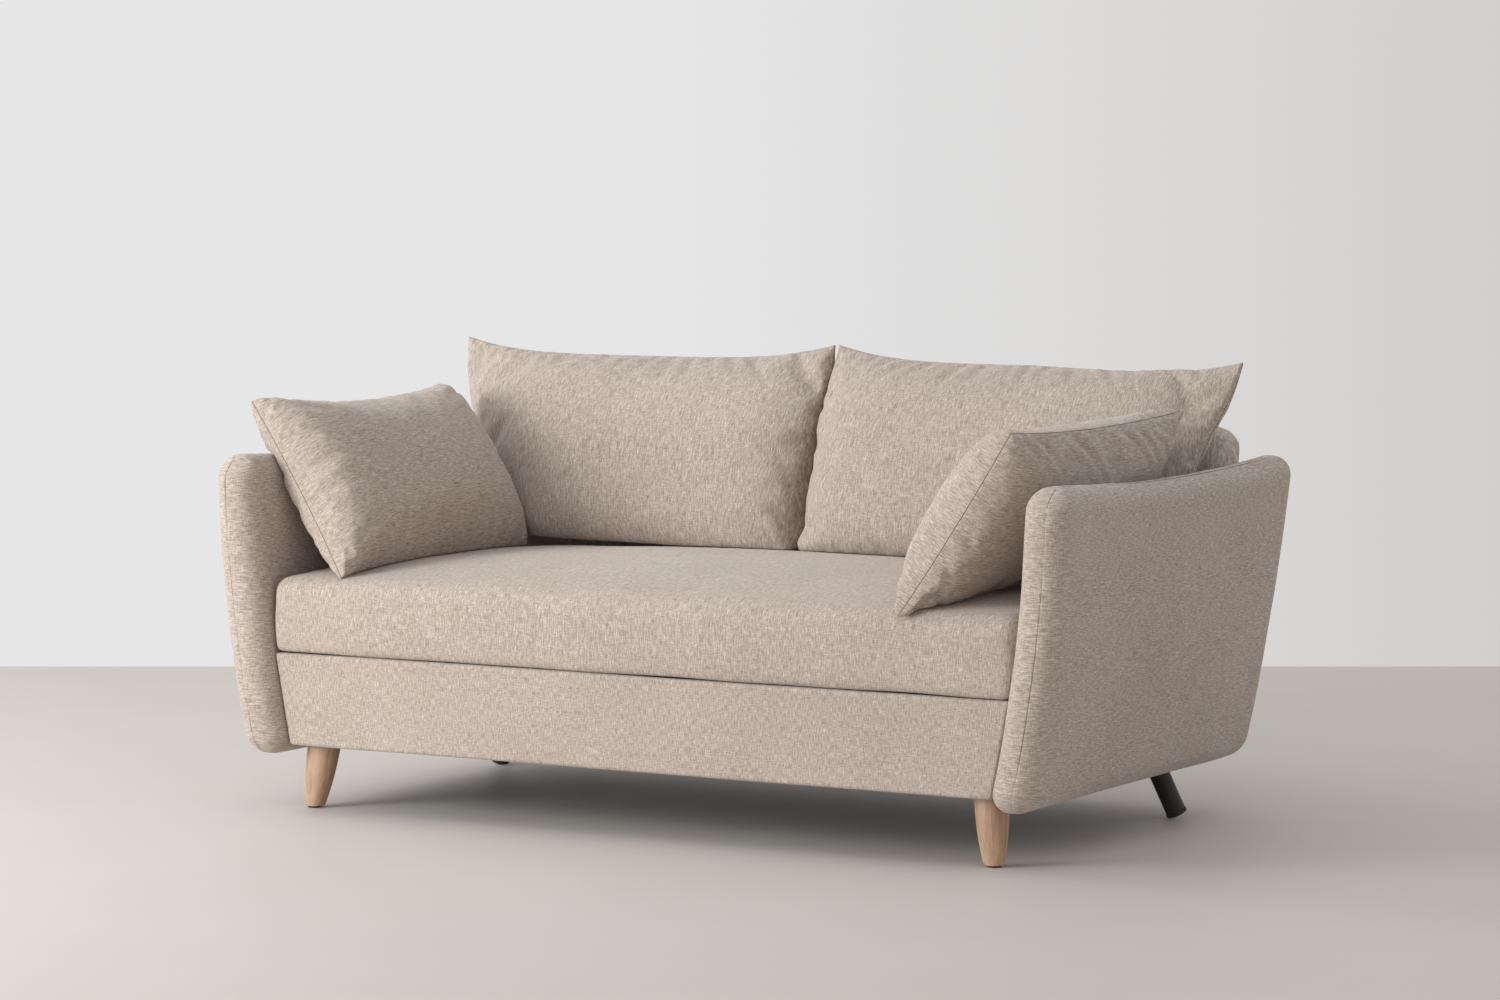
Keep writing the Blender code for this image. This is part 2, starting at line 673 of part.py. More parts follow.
def seat_shape(across, along_y, up):
    """A bench cushion that fills the space between the arms, with a crowned top."""
    share = (along_y + 1) / 2
    crown = (1 - abs(along_y) ** 2.5) * (1 - 0.85 * abs(across) ** 2.5)
    top = SEAT_EDGE_TOP + SEAT_CROWN * crown
    z = SEAT_BOTTOM + (top - SEAT_BOTTOM) * (up + 1) / 2
    half = arm_inner_x(min(z, SEAT_EDGE_TOP)) - SEAT_ARM_GAP
    rear = back_front_y(z) - SEAT_BACK_GAP
    return (across * half, SEAT_FRONT_Y + (rear - SEAT_FRONT_Y) * share, z)


def dome(share, power):
    """1 in the middle of a cushion and 0 at its seam, at a share of the way from one to the other."""
    return max(0.0, 1 - share * share) ** power


def pillow(half_width, half_height, half_thickness, pull):
    """A knife-edged cushion, standing in its own XZ plane, whose sides pull in between its tips."""

    def shape(across, through, up):
        x = across * half_width(across, up) * (1 - pull * (1 - up * up))
        thickness, droop = half_thickness(across, through, up)
        z = up * half_height(across, up) - droop
        return (x, through * (CUSHION_RIM / 2 + thickness), z)

    return shape


def make_back_cushion(label, side):
    """Leans on the back panel, its filling sunk forwards; narrower below the top of the arm."""
    bottom = Vector((0, *BACK_CUSHION_BOTTOM))
    top = Vector((0, *BACK_CUSHION_TOP))
    centre_x = side * (BACK_CUSHION_INNER_X + BACK_CUSHION_TIP_X) / 2
    half = (BACK_CUSHION_TIP_X - BACK_CUSHION_INNER_X) / 2
    narrowing = BACK_CUSHION_TIP_X - BACK_CUSHION_LOW_X

    def half_width(across, up):
        if across * side <= 0:
            return half
        share = min(max((up + 0.20) / 0.52, 0.0), 1.0)
        return half - narrowing * (1 - share * share * (3 - 2 * share))

    def half_height(across, up):
        arch = BACK_CUSHION_FOOT_ARCH if up < 0 else BACK_CUSHION_TOP_SAG
        drop = BACK_CUSHION_OUTER_DROP[label] * max(0.0, across * side) if up > 0 else 0.0
        return run.length / 2 * (1 - arch * (1 - across**4)) - drop

    run = top - bottom
    lean = Matrix.Rotation(-math.atan2(run.y, run.z), 3, "X")
    def half_thickness(across, through, up):
        bulge = dome(across, 0.40) * dome(up, 0.38 if up < 0 else 0.72)
        bulge *= 1 - BACK_CUSHION_SINK * up
        if through > 0:
            return BACK_CUSHION_REAR_THICKNESS * bulge, 0.0
        droop = BACK_CUSHION_DROOP * bulge * ((1 - up) / 2) ** 1.5
        return BACK_CUSHION_FRONT_THICKNESS * bulge, droop

    shape = pillow(half_width, half_height, half_thickness, BACK_CUSHION_PULL)
    cushion = caged("back_cushion_" + label, (crowded(12), [], crowded(8)), shape, "linen",
                    rotation=lean)
    cushion.location = (bottom + top) / 2 + Vector((centre_x, 0, 0))


def make_scatter_cushion(label, side):
    """Leans sideways on the arm, flatter on that face, with its lower seam on the crowned seat."""
    sizes = SCATTERS[label]
    length_way = Vector(sizes["length_way"]).normalized()
    through_way = Vector(sizes["height_way"]).cross(length_way).normalized()
    height_way = length_way.cross(through_way).normalized()
    turn = Matrix((length_way, through_way, height_way)).transposed()

    def half_thickness(across, through, up):
        towards_arm = through * through_way.x * side > 0
        thickness = SCATTER_ARM_THICKNESS if towards_arm else SCATTER_OPEN_THICKNESS
        return thickness * dome(across, 0.50) * dome(up, 0.55), 0.0

    def half_height(across, up):
        if up < 0:
            return sizes["half_height"] * (1 - SCATTER_FOOT_ARCH * (1 - across**4))
        front, rear = sizes["tip_rise"]
        rise = front + (rear - front) * (across + 1) / 2
        return sizes["half_height"] * (1 - sizes["top_sag"] * (1 - across * across)) + rise

    shape = pillow(lambda across, up: SCATTER_HALF_LENGTH, half_height, half_thickness,
                   SCATTER_PULL)
    cushion = caged("scatter_cushion_" + label, (crowded(10), [], crowded(8)), shape, "linen",
                    rotation=turn)
    cushion.location = sizes["middle"]


def make_cushions():
    stations = ((-0.93, -0.55, 0.0, 0.55, 0.93), (-0.90, -0.5, 0.2, 0.85), (-0.6, 0.55))
    caged("seat_cushion", stations, seat_shape, "linen", origin=(0, 0.4, 0.37), levels=1)
    for label, side in SIDES.items():
        make_back_cushion(label, side)
        make_scatter_cushion(label, side)


clear_scene()
parts = new_collection("sofa_with_wooden_legs")
cutters = new_collection("cutters")
layout = bpy.data.objects.new("sofa_layout", None)
parts.objects.link(layout)
layout.location = (0, FRONT_FACE_Y, 0)

make_front_panel()
make_rails()
make_corner_blocks()
make_suspension()
make_dust_cover()
for side_label, side_sign in SIDES.items():
    make_arm(side_label, side_sign)
    make_front_leg(side_label, side_sign)
    make_rear_leg(side_label, side_sign)
make_back()
make_cushions()
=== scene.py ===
"""Looks of a two-seat linen sofa with two turned wooden front legs and two splayed black rear legs.

Metres, +Z up, the sofa faces -Y and its left side is at -X. Places are measured from the floor,
from the middle of the width and from the front face of the base, as on the frame's own drawing.
"""

import math

import bmesh
import bpy
from mathutils import Matrix, Vector, noise


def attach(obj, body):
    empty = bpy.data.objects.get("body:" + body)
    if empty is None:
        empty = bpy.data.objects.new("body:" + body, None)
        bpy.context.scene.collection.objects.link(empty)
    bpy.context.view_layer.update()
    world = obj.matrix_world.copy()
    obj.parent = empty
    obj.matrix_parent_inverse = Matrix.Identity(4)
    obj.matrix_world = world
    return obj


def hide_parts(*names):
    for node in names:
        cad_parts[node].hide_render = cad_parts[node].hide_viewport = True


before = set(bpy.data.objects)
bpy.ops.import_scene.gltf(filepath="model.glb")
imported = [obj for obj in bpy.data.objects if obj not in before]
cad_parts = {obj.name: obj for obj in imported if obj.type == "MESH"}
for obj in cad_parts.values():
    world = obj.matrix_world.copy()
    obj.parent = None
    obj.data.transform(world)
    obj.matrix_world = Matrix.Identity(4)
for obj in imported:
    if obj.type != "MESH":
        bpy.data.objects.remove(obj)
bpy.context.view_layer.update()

FRONT_FACE_Y = -0.50375
SIDES = {"left": -1, "right": 1}

# Arms: the centre line of the thickness runs outwards as x = ROOT + FLARE z + CURVE z^2
ARM_ROOT_X = 0.777
ARM_FLARE = 0.2624
ARM_CURVE = -0.1769
ARM_HALF_THICKNESS = 0.0455
ARM_BOTTOM = 0.1065
ARM_TOP = 0.6715
ARM_TOP_SAG = 0.017
ARM_NOSE_Y = -0.0365
ARM_HALF_DEPTH = 0.485
ARM_HALF_HEIGHT = 0.288
ARM_EDGE_RADIUS = 0.042
ARM_CORNER_RADII = {"low_front": 0.018, "low_rear": 0.030, "top_front": 0.055,
                    "top_rear": 0.026}
ARM_PUFF = 0.0035
# How far outwards of the middle of the rim its seam runs
ARM_SEAM_OUT = 0.009
# The rear edge of the arm: y at the floor, its slope with height and its bend
ARM_REAR = (0.9265, -0.049, 0.200)

# Base panel under the seat cushion
PANEL_BOTTOM = 0.1262
PANEL_TOP = 0.3035
PANEL_HALF_WIDTH = (0.7590, 0.7940)
PANEL_THICKNESS = 0.024
PANEL_RADIUS = 0.007

# Back panel
BACK_LEAN = math.radians(11.0)
BACK_FRONT_Y = 0.786
BACK_BOTTOM = 0.131
BACK_HEIGHT = 0.634
BACK_THICKNESS = 0.140
BACK_HALF_WIDTH = 0.780
BACK_WAIST = 0.150
BACK_WAIST_NARROWING = 0.023
BACK_EDGE_RADIUS = 0.024
BACK_CORNER_RADIUS = 0.042

# Seat cushion
SEAT_BOTTOM = 0.3052
SEAT_EDGE_TOP = 0.449
SEAT_CROWN = 0.0455
SEAT_HALF_WIDTH = 0.790
SEAT_HALF_DEPTH = 0.430
SEAT_HALF_HEIGHT = 0.074
SEAT_TOP_RADIUS = 0.036
SEAT_FOOT_RADIUS = 0.011
# Where a cushion meets the seat: half the width and the depth's middle of its crown
SEAT_REST_HALF_WIDTH = 0.80
SEAT_REST_MIDDLE_Y = 0.42

# Back cushions
CUSHION_INNER_X = 0.0035
CUSHION_LOW_X = 0.812
CUSHION_TIP_X = 0.880
CUSHION_BOTTOM = (0.716, 0.499)
CUSHION_TOP = (0.810, 0.886)
CUSHION_FRONT_THICKNESS = 0.116
CUSHION_REAR_THICKNESS = 0.088
CUSHION_SINK = 0.20
CUSHION_DROOP = 0.102
CUSHION_OUTER_DROP = {"left": 0.0, "right": 0.016}
CUSHION_FOOT_ARCH = 0.035
CUSHION_TOP_SAG = 0.160
CUSHION_INNER_PULL = 0.002
CUSHION_OUTER_PULL = 0.022

# Scatter cushions, by the places of their corners
SCATTERS = {
    "left": {
        "front_low": (-0.648, 0.020, 0.452),
        "front_top": (-0.886, 0.058, 0.785),
        "rear_top": (-0.839, 0.637, 0.791),
        "rear_low": (-0.612, 0.613, 0.471),
        "top_sag": 0.115,
        "foot_arch": 0.055,
    },
    "right": {
        "front_low": (0.575, -0.007, 0.443),
        "front_top": (0.761, 0.068, 0.771),
        "rear_top": (0.821, 0.651, 0.784),
        "rear_low": (0.650, 0.600, 0.486),
        "top_sag": 0.075,
        "foot_arch": 0.045,
    },
}
SCATTER_OPEN_THICKNESS = 0.100
SCATTER_ARM_THICKNESS = 0.060
SCATTER_PULL = 0.030

# Gaps: half the thickness of a sewn edge, above the seat, and each side of the middle
RIM = 0.0022
REST_GAP = 0.0025
MIDDLE_GAP = 0.0007
# The thread lies this deep in the edge
THREAD_INSET = 0.0012

# Legs
LEG_TOP = (0.725, 0.070, 0.1257)
LEG_FOOT = (0.739, 0.054, 0.0)
LEG_RADII = (0.0185, 0.0320)
LEG_BELLY = 0.0030
LEG_CUT_HEIGHT = 0.0038
LEG_OVERRUN = 0.03
REAR_FLOOR_POINT = (0.757, 0.746)
REAR_SPLAY = math.radians(25.0)
REAR_RADIUS = 0.0195
REAR_CAP_RADIUS = 0.0205
REAR_CAP_HEIGHT = 0.007
REAR_LEG_TOP = 0.1224
REAR_LEG_RUN = 0.17

# Cushion filling, simulated as cloth
SIM_FRAMES = 20
FILL_LIMIT = 0.014

# Linen, from its darkest yarns to its lightest
LINEN_TONES = ((0.235, 0.187, 0.152), (0.398, 0.332, 0.281), (0.487, 0.417, 0.361),
               (0.715, 0.647, 0.588))


# ---------------------------------------------------------------- node trees


def new_material(name):
    made = bpy.data.materials.new(name)
    made.use_nodes = True
    return made, made.node_tree, made.node_tree.nodes["Principled BSDF"]


def add(tree, kind, links=(), **settings):
    """A new node, with the given properties set and (input, value or socket) pairs filled in."""
    made = tree.nodes.new("ShaderNode" + kind)
    for key, value in settings.items():
        setattr(made, key, value)
    for key, value in links:
        if isinstance(value, bpy.types.NodeSocket):
            tree.links.new(value, made.inputs[key])
        else:
            made.inputs[key].default_value = value
    return made


def grain(tree, where, scale, detail=3.0, roughness=0.6):
    """Noise with its own scale along each axis, in cells per metre."""
    mapped = add(tree, "Mapping", [("Vector", where), ("Scale", scale)])
    return add(tree, "TexNoise", [("Vector", mapped.outputs["Vector"]), ("Scale", 1.0),
                                  ("Detail", detail), ("Roughness", roughness)]).outputs["Fac"]


def mixed(tree, first, first_share, second, second_share):
    """A weighted sum of two values."""
    one = add(tree, "Math", [(0, first), (1, first_share)], operation="MULTIPLY")
    return add(tree, "Math", [(0, second), (1, second_share), (2, one.outputs[0])],
               operation="MULTIPLY_ADD").outputs[0]


def ramp(tree, fac, stops):
    made = add(tree, "ValToRGB", [("Fac", fac)])
    elements = made.color_ramp.elements
    while len(elements) < len(stops):
        elements.new(0.5)
    for element, (place, colour) in zip(elements, stops):
        element.position = place
        element.color = (*colour, 1.0)
    return made.outputs["Color"]


def bump(tree, height, strength, distance, normal=None):
    links = [("Height", height), ("Strength", strength), ("Distance", distance)]
    if normal is not None:
        links.append(("Normal", normal))
    return add(tree, "Bump", links).outputs["Normal"]


def set_shader(tree, shader, colour=None, roughness=None, normal=None, **values):
    for key, value in (("Base Color", colour), ("Roughness", roughness), ("Normal", normal)):
        if isinstance(value, bpy.types.NodeSocket):
            tree.links.new(value, shader.inputs[key])
        elif value is not None:
            shader.inputs[key].default_value = value
    for key, value in values.items():
        shader.inputs[key.replace("_", " ")].default_value = value


def linen(name, yarns="upright"):
    """Slubby plain weave, with its thick uneven yarns upright or lying along the piece."""
    made, tree, shader = new_material(name)
    where = add(tree, "TexCoord").outputs["Object"]
    thick, thin = ((740, 72, 72), (98, 720, 720)) if yarns == "upright" else (
        (72, 72, 740), (720, 720, 98))
    slub = grain(tree, where, thick, 2.0, 0.55)
    cross = grain(tree, where, thin, 2.0, 0.55)
    cloud = grain(tree, where, (5, 5, 5), 2.0, 0.5)
    yarn = mixed(tree, slub, 0.64, cross, 0.36)
    tone = mixed(tree, yarn, 0.93, cloud, 0.07)
    stops = list(zip((0.33, 0.46, 0.545, 0.675), LINEN_TONES))
    colour = ramp(tree, tone, stops)
    warp = add(tree, "TexWave", [("Vector", where), ("Scale", 250.0), ("Distortion", 1.2),
                                 ("Detail Scale", 6.0)], bands_direction="X")
    weft = add(tree, "TexWave", [("Vector", where), ("Scale", 250.0), ("Distortion", 1.2),
                                 ("Detail Scale", 6.0)], bands_direction="Z")
    weave = mixed(tree, warp.outputs["Fac"], 0.5, weft.outputs["Fac"], 0.5)
    normal = bump(tree, weave, 0.30, 0.0005)
    normal = bump(tree, yarn, 0.50, 0.0009, normal)
    rough = add(tree, "MapRange", [("Value", slub), ("To Min", 0.98), ("To Max", 0.82)])
    set_shader(tree, shader, colour, rough.outputs["Result"], normal, Specular_IOR_Level=0.22,
               Sheen_Weight=0.34, Sheen_Roughness=0.45, Sheen_Tint=(0.95, 0.90, 0.85, 1.0))
    return made


def wood(name, tones, along="Z", pores=0.35, roughness=0.5):
    """Straight grain along one axis, with darker pores and faint growth bands."""
    made, tree, shader = new_material(name)
    where = add(tree, "TexCoord").outputs["Object"]
    stretch = {"X": (0.03, 1, 1), "Y": (1, 0.03, 1), "Z": (1, 1, 0.03)}[along]
    band = grain(tree, where, [70 * s for s in stretch], 3.0, 0.5)
    fibre = grain(tree, where, [420 * s for s in stretch], 4.0, 0.65)
    pore = grain(tree, where, [1300 * s for s in stretch], 2.0, 0.5)
    tone = mixed(tree, band, 0.6, fibre, 0.4)
    stops = list(zip((0.34, 0.50, 0.66), tones))
    colour = ramp(tree, tone, stops)
    holes = add(tree, "MapRange", [("Value", pore), ("From Min", 0.62), ("From Max", 0.75),
                                   ("To Min", 0.0), ("To Max", pores)])
    shaded = add(tree, "MixRGB", [("Fac", holes.outputs["Result"]), ("Color1", colour),
                                  ("Color2", (0.16, 0.09, 0.05, 1.0))])
    rough = add(tree, "MapRange", [("Value", fibre), ("To Min", roughness - 0.08),
                                   ("To Max", roughness + 0.12)])
    normal = bump(tree, mixed(tree, fibre, 0.6, pore, -0.4), 0.35, 0.0004)
    set_shader(tree, shader, shaded.outputs["Color"], rough.outputs["Result"], normal,
               Coat_Weight=0.10, Coat_Roughness=0.35)
    return made


def coated(name, colour, roughness, metallic=0.0, cells=1500.0, depth=0.00012):
    """Paint, powder coat, plating or moulded plastic, with a fine uneven skin."""
    made, tree, shader = new_material(name)
    where = add(tree, "TexCoord").outputs["Object"]
    skin = grain(tree, where, (cells, cells, cells), 2.0, 0.5)
    worn = grain(tree, where, (45, 45, 45), 3.0, 0.6)
    tint = add(tree, "MapRange", [("Value", worn), ("To Min", 0.75), ("To Max", 1.3)])
    shade = add(tree, "MixRGB", [("Fac", 1.0), ("Color1", (*colour, 1.0)),
                                 ("Color2", tint.outputs["Result"])], blend_type="MULTIPLY")
    rough = add(tree, "MapRange", [("Value", worn), ("To Min", roughness - 0.1),
                                   ("To Max", roughness + 0.12)])
    set_shader(tree, shader, shade.outputs["Color"], rough.outputs["Result"],
               bump(tree, skin, 0.4, depth), Metallic=metallic)
    return made


def woven_band(name, tones, pitch):
    """Tight cloth or webbing with ribs across it."""
    made, tree, shader = new_material(name)
    where = add(tree, "TexCoord").outputs["Object"]
    ribs = add(tree, "TexWave", [("Vector", where), ("Scale", 0.314 / pitch),
                                 ("Distortion", 0.8)], bands_direction="Y")
    lines = add(tree, "TexWave", [("Vector", where), ("Scale", 0.314 / pitch),
                                  ("Distortion", 0.8)], bands_direction="X")
    fuzz = grain(tree, where, (300, 300, 300), 3.0, 0.6)
    cloth = mixed(tree, ribs.outputs["Fac"], 0.5, lines.outputs["Fac"], 0.5)
    colour = ramp(tree, mixed(tree, cloth, 0.5, fuzz, 0.5), list(zip((0.3, 0.7), tones)))
    set_shader(tree, shader, colour, 0.9, bump(tree, cloth, 0.5, 0.0006))
    return made


LINEN_UPRIGHT = linen("linen_upright_yarns")
LINEN_LYING = linen("linen_lying_yarns", "lying")
# Seam thread, darker than any linen yarn: partly the real thread, partly painted shade of the
# seam's groove
SEAM_THREAD_AND_GROOVE_SHADE = coated("seam_thread_and_groove_shade", (0.20, 0.155, 0.125), 0.9, cells=900.0)
OAK = wood("oiled_pale_oak", ((0.33, 0.190, 0.110), (0.49, 0.315, 0.200), (0.60, 0.425, 0.290)))
SOFTWOOD_TONES = ((0.47, 0.31, 0.17), (0.62, 0.45, 0.28), (0.74, 0.58, 0.40))
SOFTWOOD_X = wood("softwood_across", SOFTWOOD_TONES, "X", 0.15, 0.75)
SOFTWOOD_Y = wood("softwood_deep", SOFTWOOD_TONES, "Y", 0.15, 0.75)
SOFTWOOD_Z = wood("softwood_upright", SOFTWOOD_TONES, "Z", 0.15, 0.75)
BLACK_COAT = coated("black_powder_coat", (0.013, 0.013, 0.014), 0.42)
BLACK_PLASTIC = coated("black_moulded_plastic", (0.018, 0.018, 0.018), 0.55, cells=900.0)
ZINC = coated("zinc_plate", (0.55, 0.56, 0.58), 0.35, 1.0, cells=600.0)
WEBBING = woven_band("elastic_webbing", ((0.20, 0.17, 0.13), (0.38, 0.34, 0.28)), 0.0022)
DECK_CLOTH = woven_band("spun_deck_cloth", ((0.03, 0.03, 0.03), (0.07, 0.068, 0.065)), 0.0014)


# ---------------------------------------------------------------- mesh helpers


def arm_centre_x(z):
    return ARM_ROOT_X + ARM_FLARE * z + ARM_CURVE * z * z


def arm_rear_y(z):
    """The rear edge leans back, more so towards the top."""
    start, slope, bend = ARM_REAR
    return start + slope * z + bend * z * z


def back_front_y(z):
    return BACK_FRONT_Y + (z - BACK_BOTTOM) * math.tan(BACK_LEAN)


def smooth_step(share):
    share = min(max(share, 0.0), 1.0)
    return share * share * (3 - 2 * share)


def even(count):
    return [2 * k / count - 1 for k in range(count + 1)]


def crowded(count):
    """Places from -1 to 1 that draw together towards both ends."""
    return [0.45 * t + 0.55 * math.sin(math.pi / 2 * t) for t in even(count)]


def stations(half, radius, count, edge=4):
    """Places from -half to half: even in the middle, and closer in the rounded edges."""
    core = half - radius
    rounding = [core + radius * math.tan(math.pi / 4 * k / edge) for k in range(1, edge + 1)]
    return [-v for v in reversed(rounding)] + [core * t for t in even(count)] + rounding


def lattice(spots, shape):
    """A closed box surface cut at the spots along X, Y and Z, its corners put by shape."""
    work = bmesh.new()
    last = [len(line) - 1 for line in spots]
    made = {}

    def corner(index):
        if index not in made:
            made[index] = work.verts.new(shape(*(spots[k][index[k]] for k in range(3))))
        return made[index]

    for axis in range(3):
        first, second = [k for k in range(3) if k != axis]
        for end in (0, last[axis]):
            for i in range(last[first]):
                for j in range(last[second]):
                    ring = []
                    for a, b in ((i, j), (i + 1, j), (i + 1, j + 1), (i, j + 1)):
                        index = [end, end, end]
                        index[first], index[second] = a, b
                        ring.append(corner(tuple(index)))
                    work.faces.new(ring)
    bmesh.ops.recalc_face_normals(work, faces=work.faces)
    return work


def rounded(point, half, radius):
    """Where a point of a box's surface goes when the box's edges are rounded."""
    core = Vector([min(max(p, radius - h), h - radius) for p, h in zip(point, half)])
    out = Vector(point) - core
    return core + out.normalized() * radius if out.length else core


def round_corner(first, second, half_first, half_second, radius):
    """Rounds the corners of a flat outline, by squeezing the squares in them into quarter discs."""
    p = (abs(first) - half_first + radius) / radius
    q = (abs(second) - half_second + radius) / radius
    if p <= 0 or q <= 0:
        return first, second
    p, q = min(p, 1.0), min(q, 1.0)
    round_p, round_q = p * math.sqrt(1 - q * q / 2), q * math.sqrt(1 - p * p / 2)
    return (math.copysign(half_first - radius + radius * round_p, first),
            math.copysign(half_second - radius + radius * round_q, second))


def ruffle(work, amount, cells, seed):
    """Moves a cover in and out along its normals, as filling that is never quite even."""
    work.normal_update()
    offset = Vector((seed, 1.7 * seed, 2.3 * seed))
    moves = [v.normal * amount * noise.noise(v.co * cells + offset) for v in work.verts]
    for vert, move in zip(work.verts, moves):
        vert.co += move


def finished(name, work, material, matrix=None, levels=0):
    """An object from a bmesh, smooth, at its place in the layout."""
    mesh = bpy.data.meshes.new(name)
    work.to_mesh(mesh)
    work.free()
    mesh.shade_smooth()
    mesh.materials.append(material)
    obj = bpy.data.objects.new(name, mesh)
    bpy.context.scene.collection.objects.link(obj)
    place = Matrix.Translation((0, FRONT_FACE_Y, 0))
    obj.matrix_world = place @ matrix if matrix is not None else place
    if levels:
        subdivide(obj, levels)
    return obj


def subdivide(obj, levels=1):
    step = obj.modifiers.new("fine_form", "SUBSURF")
    step.levels = levels
    step.render_levels = levels


def belongs(obj, body, nodes=()):
    """Ties a finished piece to the body it rides on, and hides the frame parts it stands for."""
    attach(obj, body)
    if nodes:
        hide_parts(*nodes)
    return obj


def thread(name, points, body, matrix=None, radius=0.0007, closed=True):
    """A sewn seam's thread, lying in the groove between two panels; its dark colour is partly the
    real thread and partly painted shade of the groove.
    """
    curve = bpy.data.curves.new(name, "CURVE")
    curve.dimensions = "3D"
    curve.bevel_depth = radius
    curve.bevel_resolution = 2
    line = curve.splines.new("POLY")
    line.points.add(len(points) - 1)
    for spot, place in zip(line.points, points):
        spot.co = (*place, 1.0)
    line.use_cyclic_u = closed
    curve.materials.append(SEAM_THREAD_AND_GROOVE_SHADE)
    obj = bpy.data.objects.new(name, curve)
    bpy.context.scene.collection.objects.link(obj)
    home = Matrix.Translation((0, FRONT_FACE_Y, 0))
    obj.matrix_world = home @ matrix if matrix is not None else home
    return belongs(obj, body)


# ---------------------------------------------------------------- tight covers


def arm_place(side, across, along_y, up, groove=0.0):
    """Layout place of a point of the arm, given in a straight box of the arm's size."""
    half = (ARM_HALF_THICKNESS, ARM_HALF_DEPTH, ARM_HALF_HEIGHT)
    corner = ("top" if up > 0 else "low") + ("_rear" if along_y > 0 else "_front")
    s, y, z = rounded((across, along_y, up), half, ARM_EDGE_RADIUS)
    if abs(along_y) >= ARM_HALF_DEPTH - 1e-9:
        y -= math.copysign(groove, y)
    if abs(up) >= ARM_HALF_HEIGHT - 1e-9:
        z -= math.copysign(groove, z)
    y, z = round_corner(y, z, ARM_HALF_DEPTH, ARM_HALF_HEIGHT, ARM_CORNER_RADII[corner])
    share_y, share_z = y / ARM_HALF_DEPTH, z / ARM_HALF_HEIGHT
    top = ARM_TOP + ARM_TOP_SAG * share_y * share_y
    z = ARM_BOTTOM + (top - ARM_BOTTOM) * (share_z + 1) / 2
    y = ARM_NOSE_Y + (arm_rear_y(z) - ARM_NOSE_Y) * (share_y + 1) / 2
    puff = ARM_PUFF * (1 - share_y * share_y) * (1 - share_z * share_z)
    s += math.copysign(puff, s) if abs(across) >= ARM_HALF_THICKNESS - 1e-9 else 0.0
    return (side * arm_centre_x(z) + s, y, z)


def make_arm(label, side):
    """Two panels of linen over a padded board, sewn together round its rim."""
    seam = side * ARM_SEAM_OUT
    across = stations(ARM_HALF_THICKNESS, ARM_EDGE_RADIUS, 4, edge=7)
    across = sorted([s for s in across if abs(s - seam) > 0.0025]
                    + [seam - 0.002, seam - 0.0007, seam + 0.0007, seam + 0.002])
    spots = (across, stations(ARM_HALF_DEPTH, ARM_EDGE_RADIUS, 56, edge=7),
             stations(ARM_HALF_HEIGHT, ARM_EDGE_RADIUS, 34, edge=7))

    def shape(s, y, z):
        return arm_place(side, s, y, z, 0.0010 * math.exp(-(((s - seam) / 0.0016) ** 2)))

    work = lattice(spots, shape)
    ruffle(work, 0.0016, 9.0, 3.1 + side)
    body = finished("arm_cover_" + label, work, LINEN_LYING, levels=1)
    belongs(body, "frame", ["arm_pad_" + label])
    depth, height = ARM_HALF_DEPTH, ARM_HALF_HEIGHT
    steps = 40
    loop = [(-depth + 2 * depth * k / steps, -height) for k in range(steps)]
    loop += [(depth, -height + 2 * height * k / steps) for k in range(steps)]
    loop += [(depth - 2 * depth * k / steps, height) for k in range(steps)]
    loop += [(-depth, height - 2 * height * k / steps) for k in range(steps)]
    points = [arm_place(side, seam, y, z, 0.0006) for y, z in loop]
    thread("arm_seam_" + label, points, "frame", radius=0.0004)


def make_front_panel():
    half = (0.78, PANEL_THICKNESS / 2, (PANEL_TOP - PANEL_BOTTOM) / 2)

    def shape(x, y, z):
        x, y, z = rounded((x, y, z), half, PANEL_RADIUS)
        share = (z / half[2] + 1) / 2
        wide = PANEL_HALF_WIDTH[0] + (PANEL_HALF_WIDTH[1] - PANEL_HALF_WIDTH[0]) * share
        return (x / half[0] * wide, y + half[1], PANEL_BOTTOM + half[2] + z)

    spots = (stations(half[0], PANEL_RADIUS, 120), stations(half[1], PANEL_RADIUS, 2),
             stations(half[2], PANEL_RADIUS, 14))
    work = lattice(spots, shape)
    ruffle(work, 0.0008, 7.0, 5.0)
    panel = finished("front_panel_cover", work, LINEN_UPRIGHT, levels=1)
    belongs(panel, "frame", ["front_panel"])


def make_back():
    half = (BACK_HALF_WIDTH, BACK_THICKNESS / 2, BACK_HEIGHT / 2)

    def shape(x, y, z):
        x, y, z = rounded((x, y, z), half, BACK_EDGE_RADIUS)
        if z > 0:
            x, z = round_corner(x, z, half[0], half[2], BACK_CORNER_RADIUS)
        slope = z + half[2]
        narrowing = BACK_WAIST_NARROWING * max(0.0, 1 - slope / BACK_WAIST)
        x *= 1 - narrowing / half[0]
        puff = 0.004 * (1 - (x / half[0]) ** 2) * (1 - (z / half[2]) ** 2)
        return (x, y + math.copysign(puff, y), z)

    spots = (stations(half[0], BACK_EDGE_RADIUS, 90), stations(half[1], BACK_EDGE_RADIUS, 6),
             stations(half[2], BACK_EDGE_RADIUS, 36))
    work = lattice(spots, shape)
    ruffle(work, 0.0014, 7.0, 11.0)
    lean = Matrix.Rotation(-BACK_LEAN, 4, "X")
    matrix = (Matrix.Translation((0, BACK_FRONT_Y, BACK_BOTTOM)) @ lean
              @ Matrix.Translation((0, half[1], half[2])))
    back = finished("back_cover", work, LINEN_UPRIGHT, matrix, levels=1)
    belongs(back, "frame", ["back_pad"])


